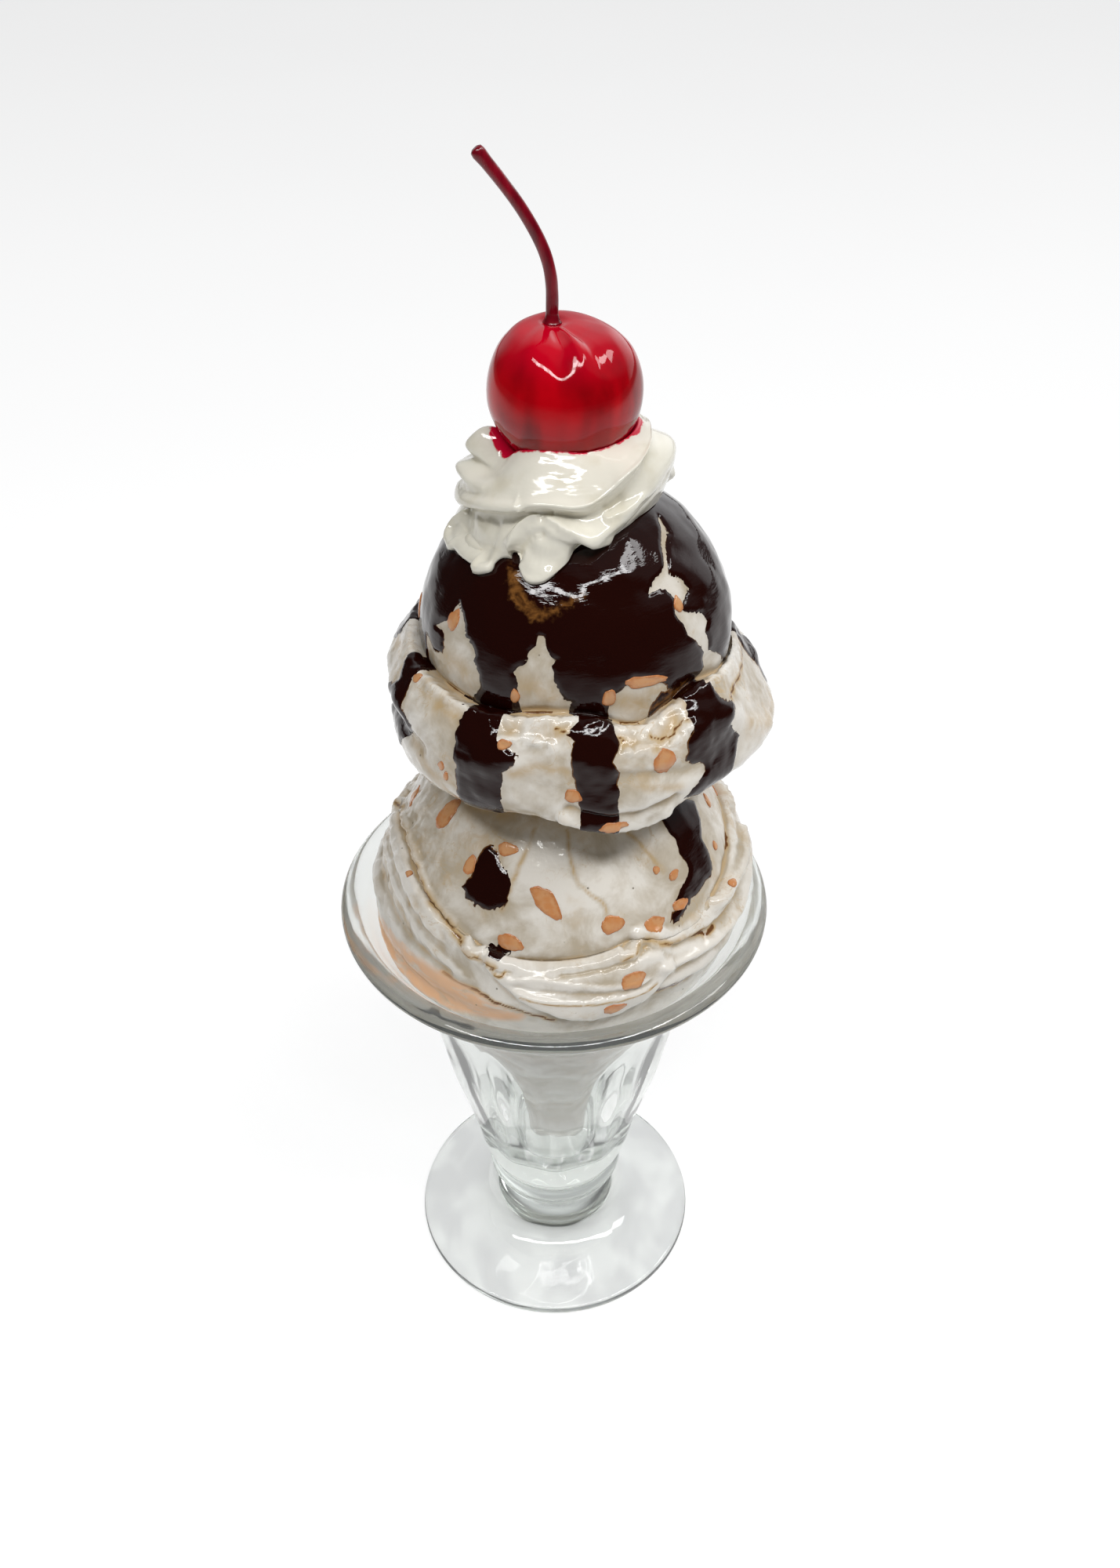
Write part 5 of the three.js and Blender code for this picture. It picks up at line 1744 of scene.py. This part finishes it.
class SUNDAE_OT_lower_scoop(bpy.types.Operator):
    """Makes the lower scoop, whose skirt lies in the glass's flare"""

    bl_idname = "sundae.lower_scoop"
    bl_label = "Lower scoop"

    def execute(self, context):
        material = glaze_material("lower scoop glaze", context.scene.sundae_colours)
        mesh = lower_scoop(context.scene.sundae_sizes)
        piece("lower_scoop_glazed", mesh, material, "lower_scoop", "lower_scoop")
        return {"FINISHED"}


class SUNDAE_OT_upper_scoop(bpy.types.Operator):
    """Makes the upper scoop, with its collar and its coat of sauce"""

    bl_idname = "sundae.upper_scoop"
    bl_label = "Upper scoop"

    def execute(self, context):
        material = glaze_material("upper scoop glaze", context.scene.sundae_colours)
        mesh = upper_scoop(context.scene.sundae_sizes)
        piece("upper_scoop_glazed", mesh, material, "upper_scoop", "upper_scoop")
        return {"FINISHED"}


class SUNDAE_OT_whipped_cream(bpy.types.Operator):
    """Makes the swirl of whipped cream"""

    bl_idname = "sundae.whipped_cream"
    bl_label = "Whipped cream"

    def execute(self, context):
        material = cream_material(context.scene.sundae_colours)
        mesh = whipped_cream(context.scene.sundae_sizes)
        piece("cream_swirl", mesh, material, "whipped_cream", "whipped_cream")
        return {"FINISHED"}


class SUNDAE_OT_cherry(bpy.types.Operator):
    """Makes the cherry and its stem"""

    bl_idname = "sundae.cherry"
    bl_label = "Cherry and stem"

    def execute(self, context):
        sizes, colours = context.scene.sundae_sizes, context.scene.sundae_colours
        piece("cherry_glazed", cherry(sizes), cherry_material(colours), "cherry", "cherry")
        piece("stem_glazed", stem(sizes), stem_material(colours), "cherry_stem", "cherry_stem")
        return {"FINISHED"}


class SUNDAE_OT_nut_chips(bpy.types.Operator):
    """Lays the nut chips on the finished scoops"""

    bl_idname = "sundae.nut_chips"
    bl_label = "Nut chips"

    def execute(self, context):
        mesh = nut_chips(context.scene.sundae_sizes)
        piece("nut_chips", mesh, nut_material(context.scene.sundae_colours), "lower_scoop")
        return {"FINISHED"}


class SUNDAE_OT_stage(bpy.types.Operator):
    """Makes the floor, the lights and the camera"""

    bl_idname = "sundae.stage"
    bl_label = "Stage"

    def execute(self, context):
        stage(context.scene.sundae_colours)
        return {"FINISHED"}


OPERATORS = (
    SUNDAE_OT_glass,
    SUNDAE_OT_lower_scoop,
    SUNDAE_OT_upper_scoop,
    SUNDAE_OT_whipped_cream,
    SUNDAE_OT_cherry,
    SUNDAE_OT_nut_chips,
    SUNDAE_OT_stage,
)


class SUNDAE_PT_panel(bpy.types.Panel):
    """The sundae's pieces, sizes and colours"""

    bl_idname = "SUNDAE_PT_panel"
    bl_label = "Ice cream sundae"
    bl_space_type = "VIEW_3D"
    bl_region_type = "UI"
    bl_category = "Sundae"

    def draw(self, context):
        layout = self.layout
        for operator in OPERATORS:
            layout.operator(operator.bl_idname)
        for group in (context.scene.sundae_sizes, context.scene.sundae_colours):
            column = layout.column(align=True)
            for name in group.bl_rna.properties.keys():
                if name not in ("rna_type", "name"):
                    column.prop(group, name)


CLASSES = (SundaeSizes, SundaeColours, *OPERATORS, SUNDAE_PT_panel)


def register():
    for made in CLASSES:
        bpy.utils.register_class(made)
    bpy.types.Scene.sundae_sizes = bpy.props.PointerProperty(type=SundaeSizes)
    bpy.types.Scene.sundae_colours = bpy.props.PointerProperty(type=SundaeColours)


def unregister():
    del bpy.types.Scene.sundae_colours
    del bpy.types.Scene.sundae_sizes
    for made in reversed(CLASSES):
        bpy.utils.unregister_class(made)


def main():
    register()
    bpy.ops.sundae.glass()
    bpy.ops.sundae.lower_scoop()
    bpy.ops.sundae.upper_scoop()
    bpy.ops.sundae.whipped_cream()
    bpy.ops.sundae.cherry()
    bpy.ops.sundae.nut_chips()
    bpy.ops.sundae.stage()


if __name__ == "__main__":
    main()
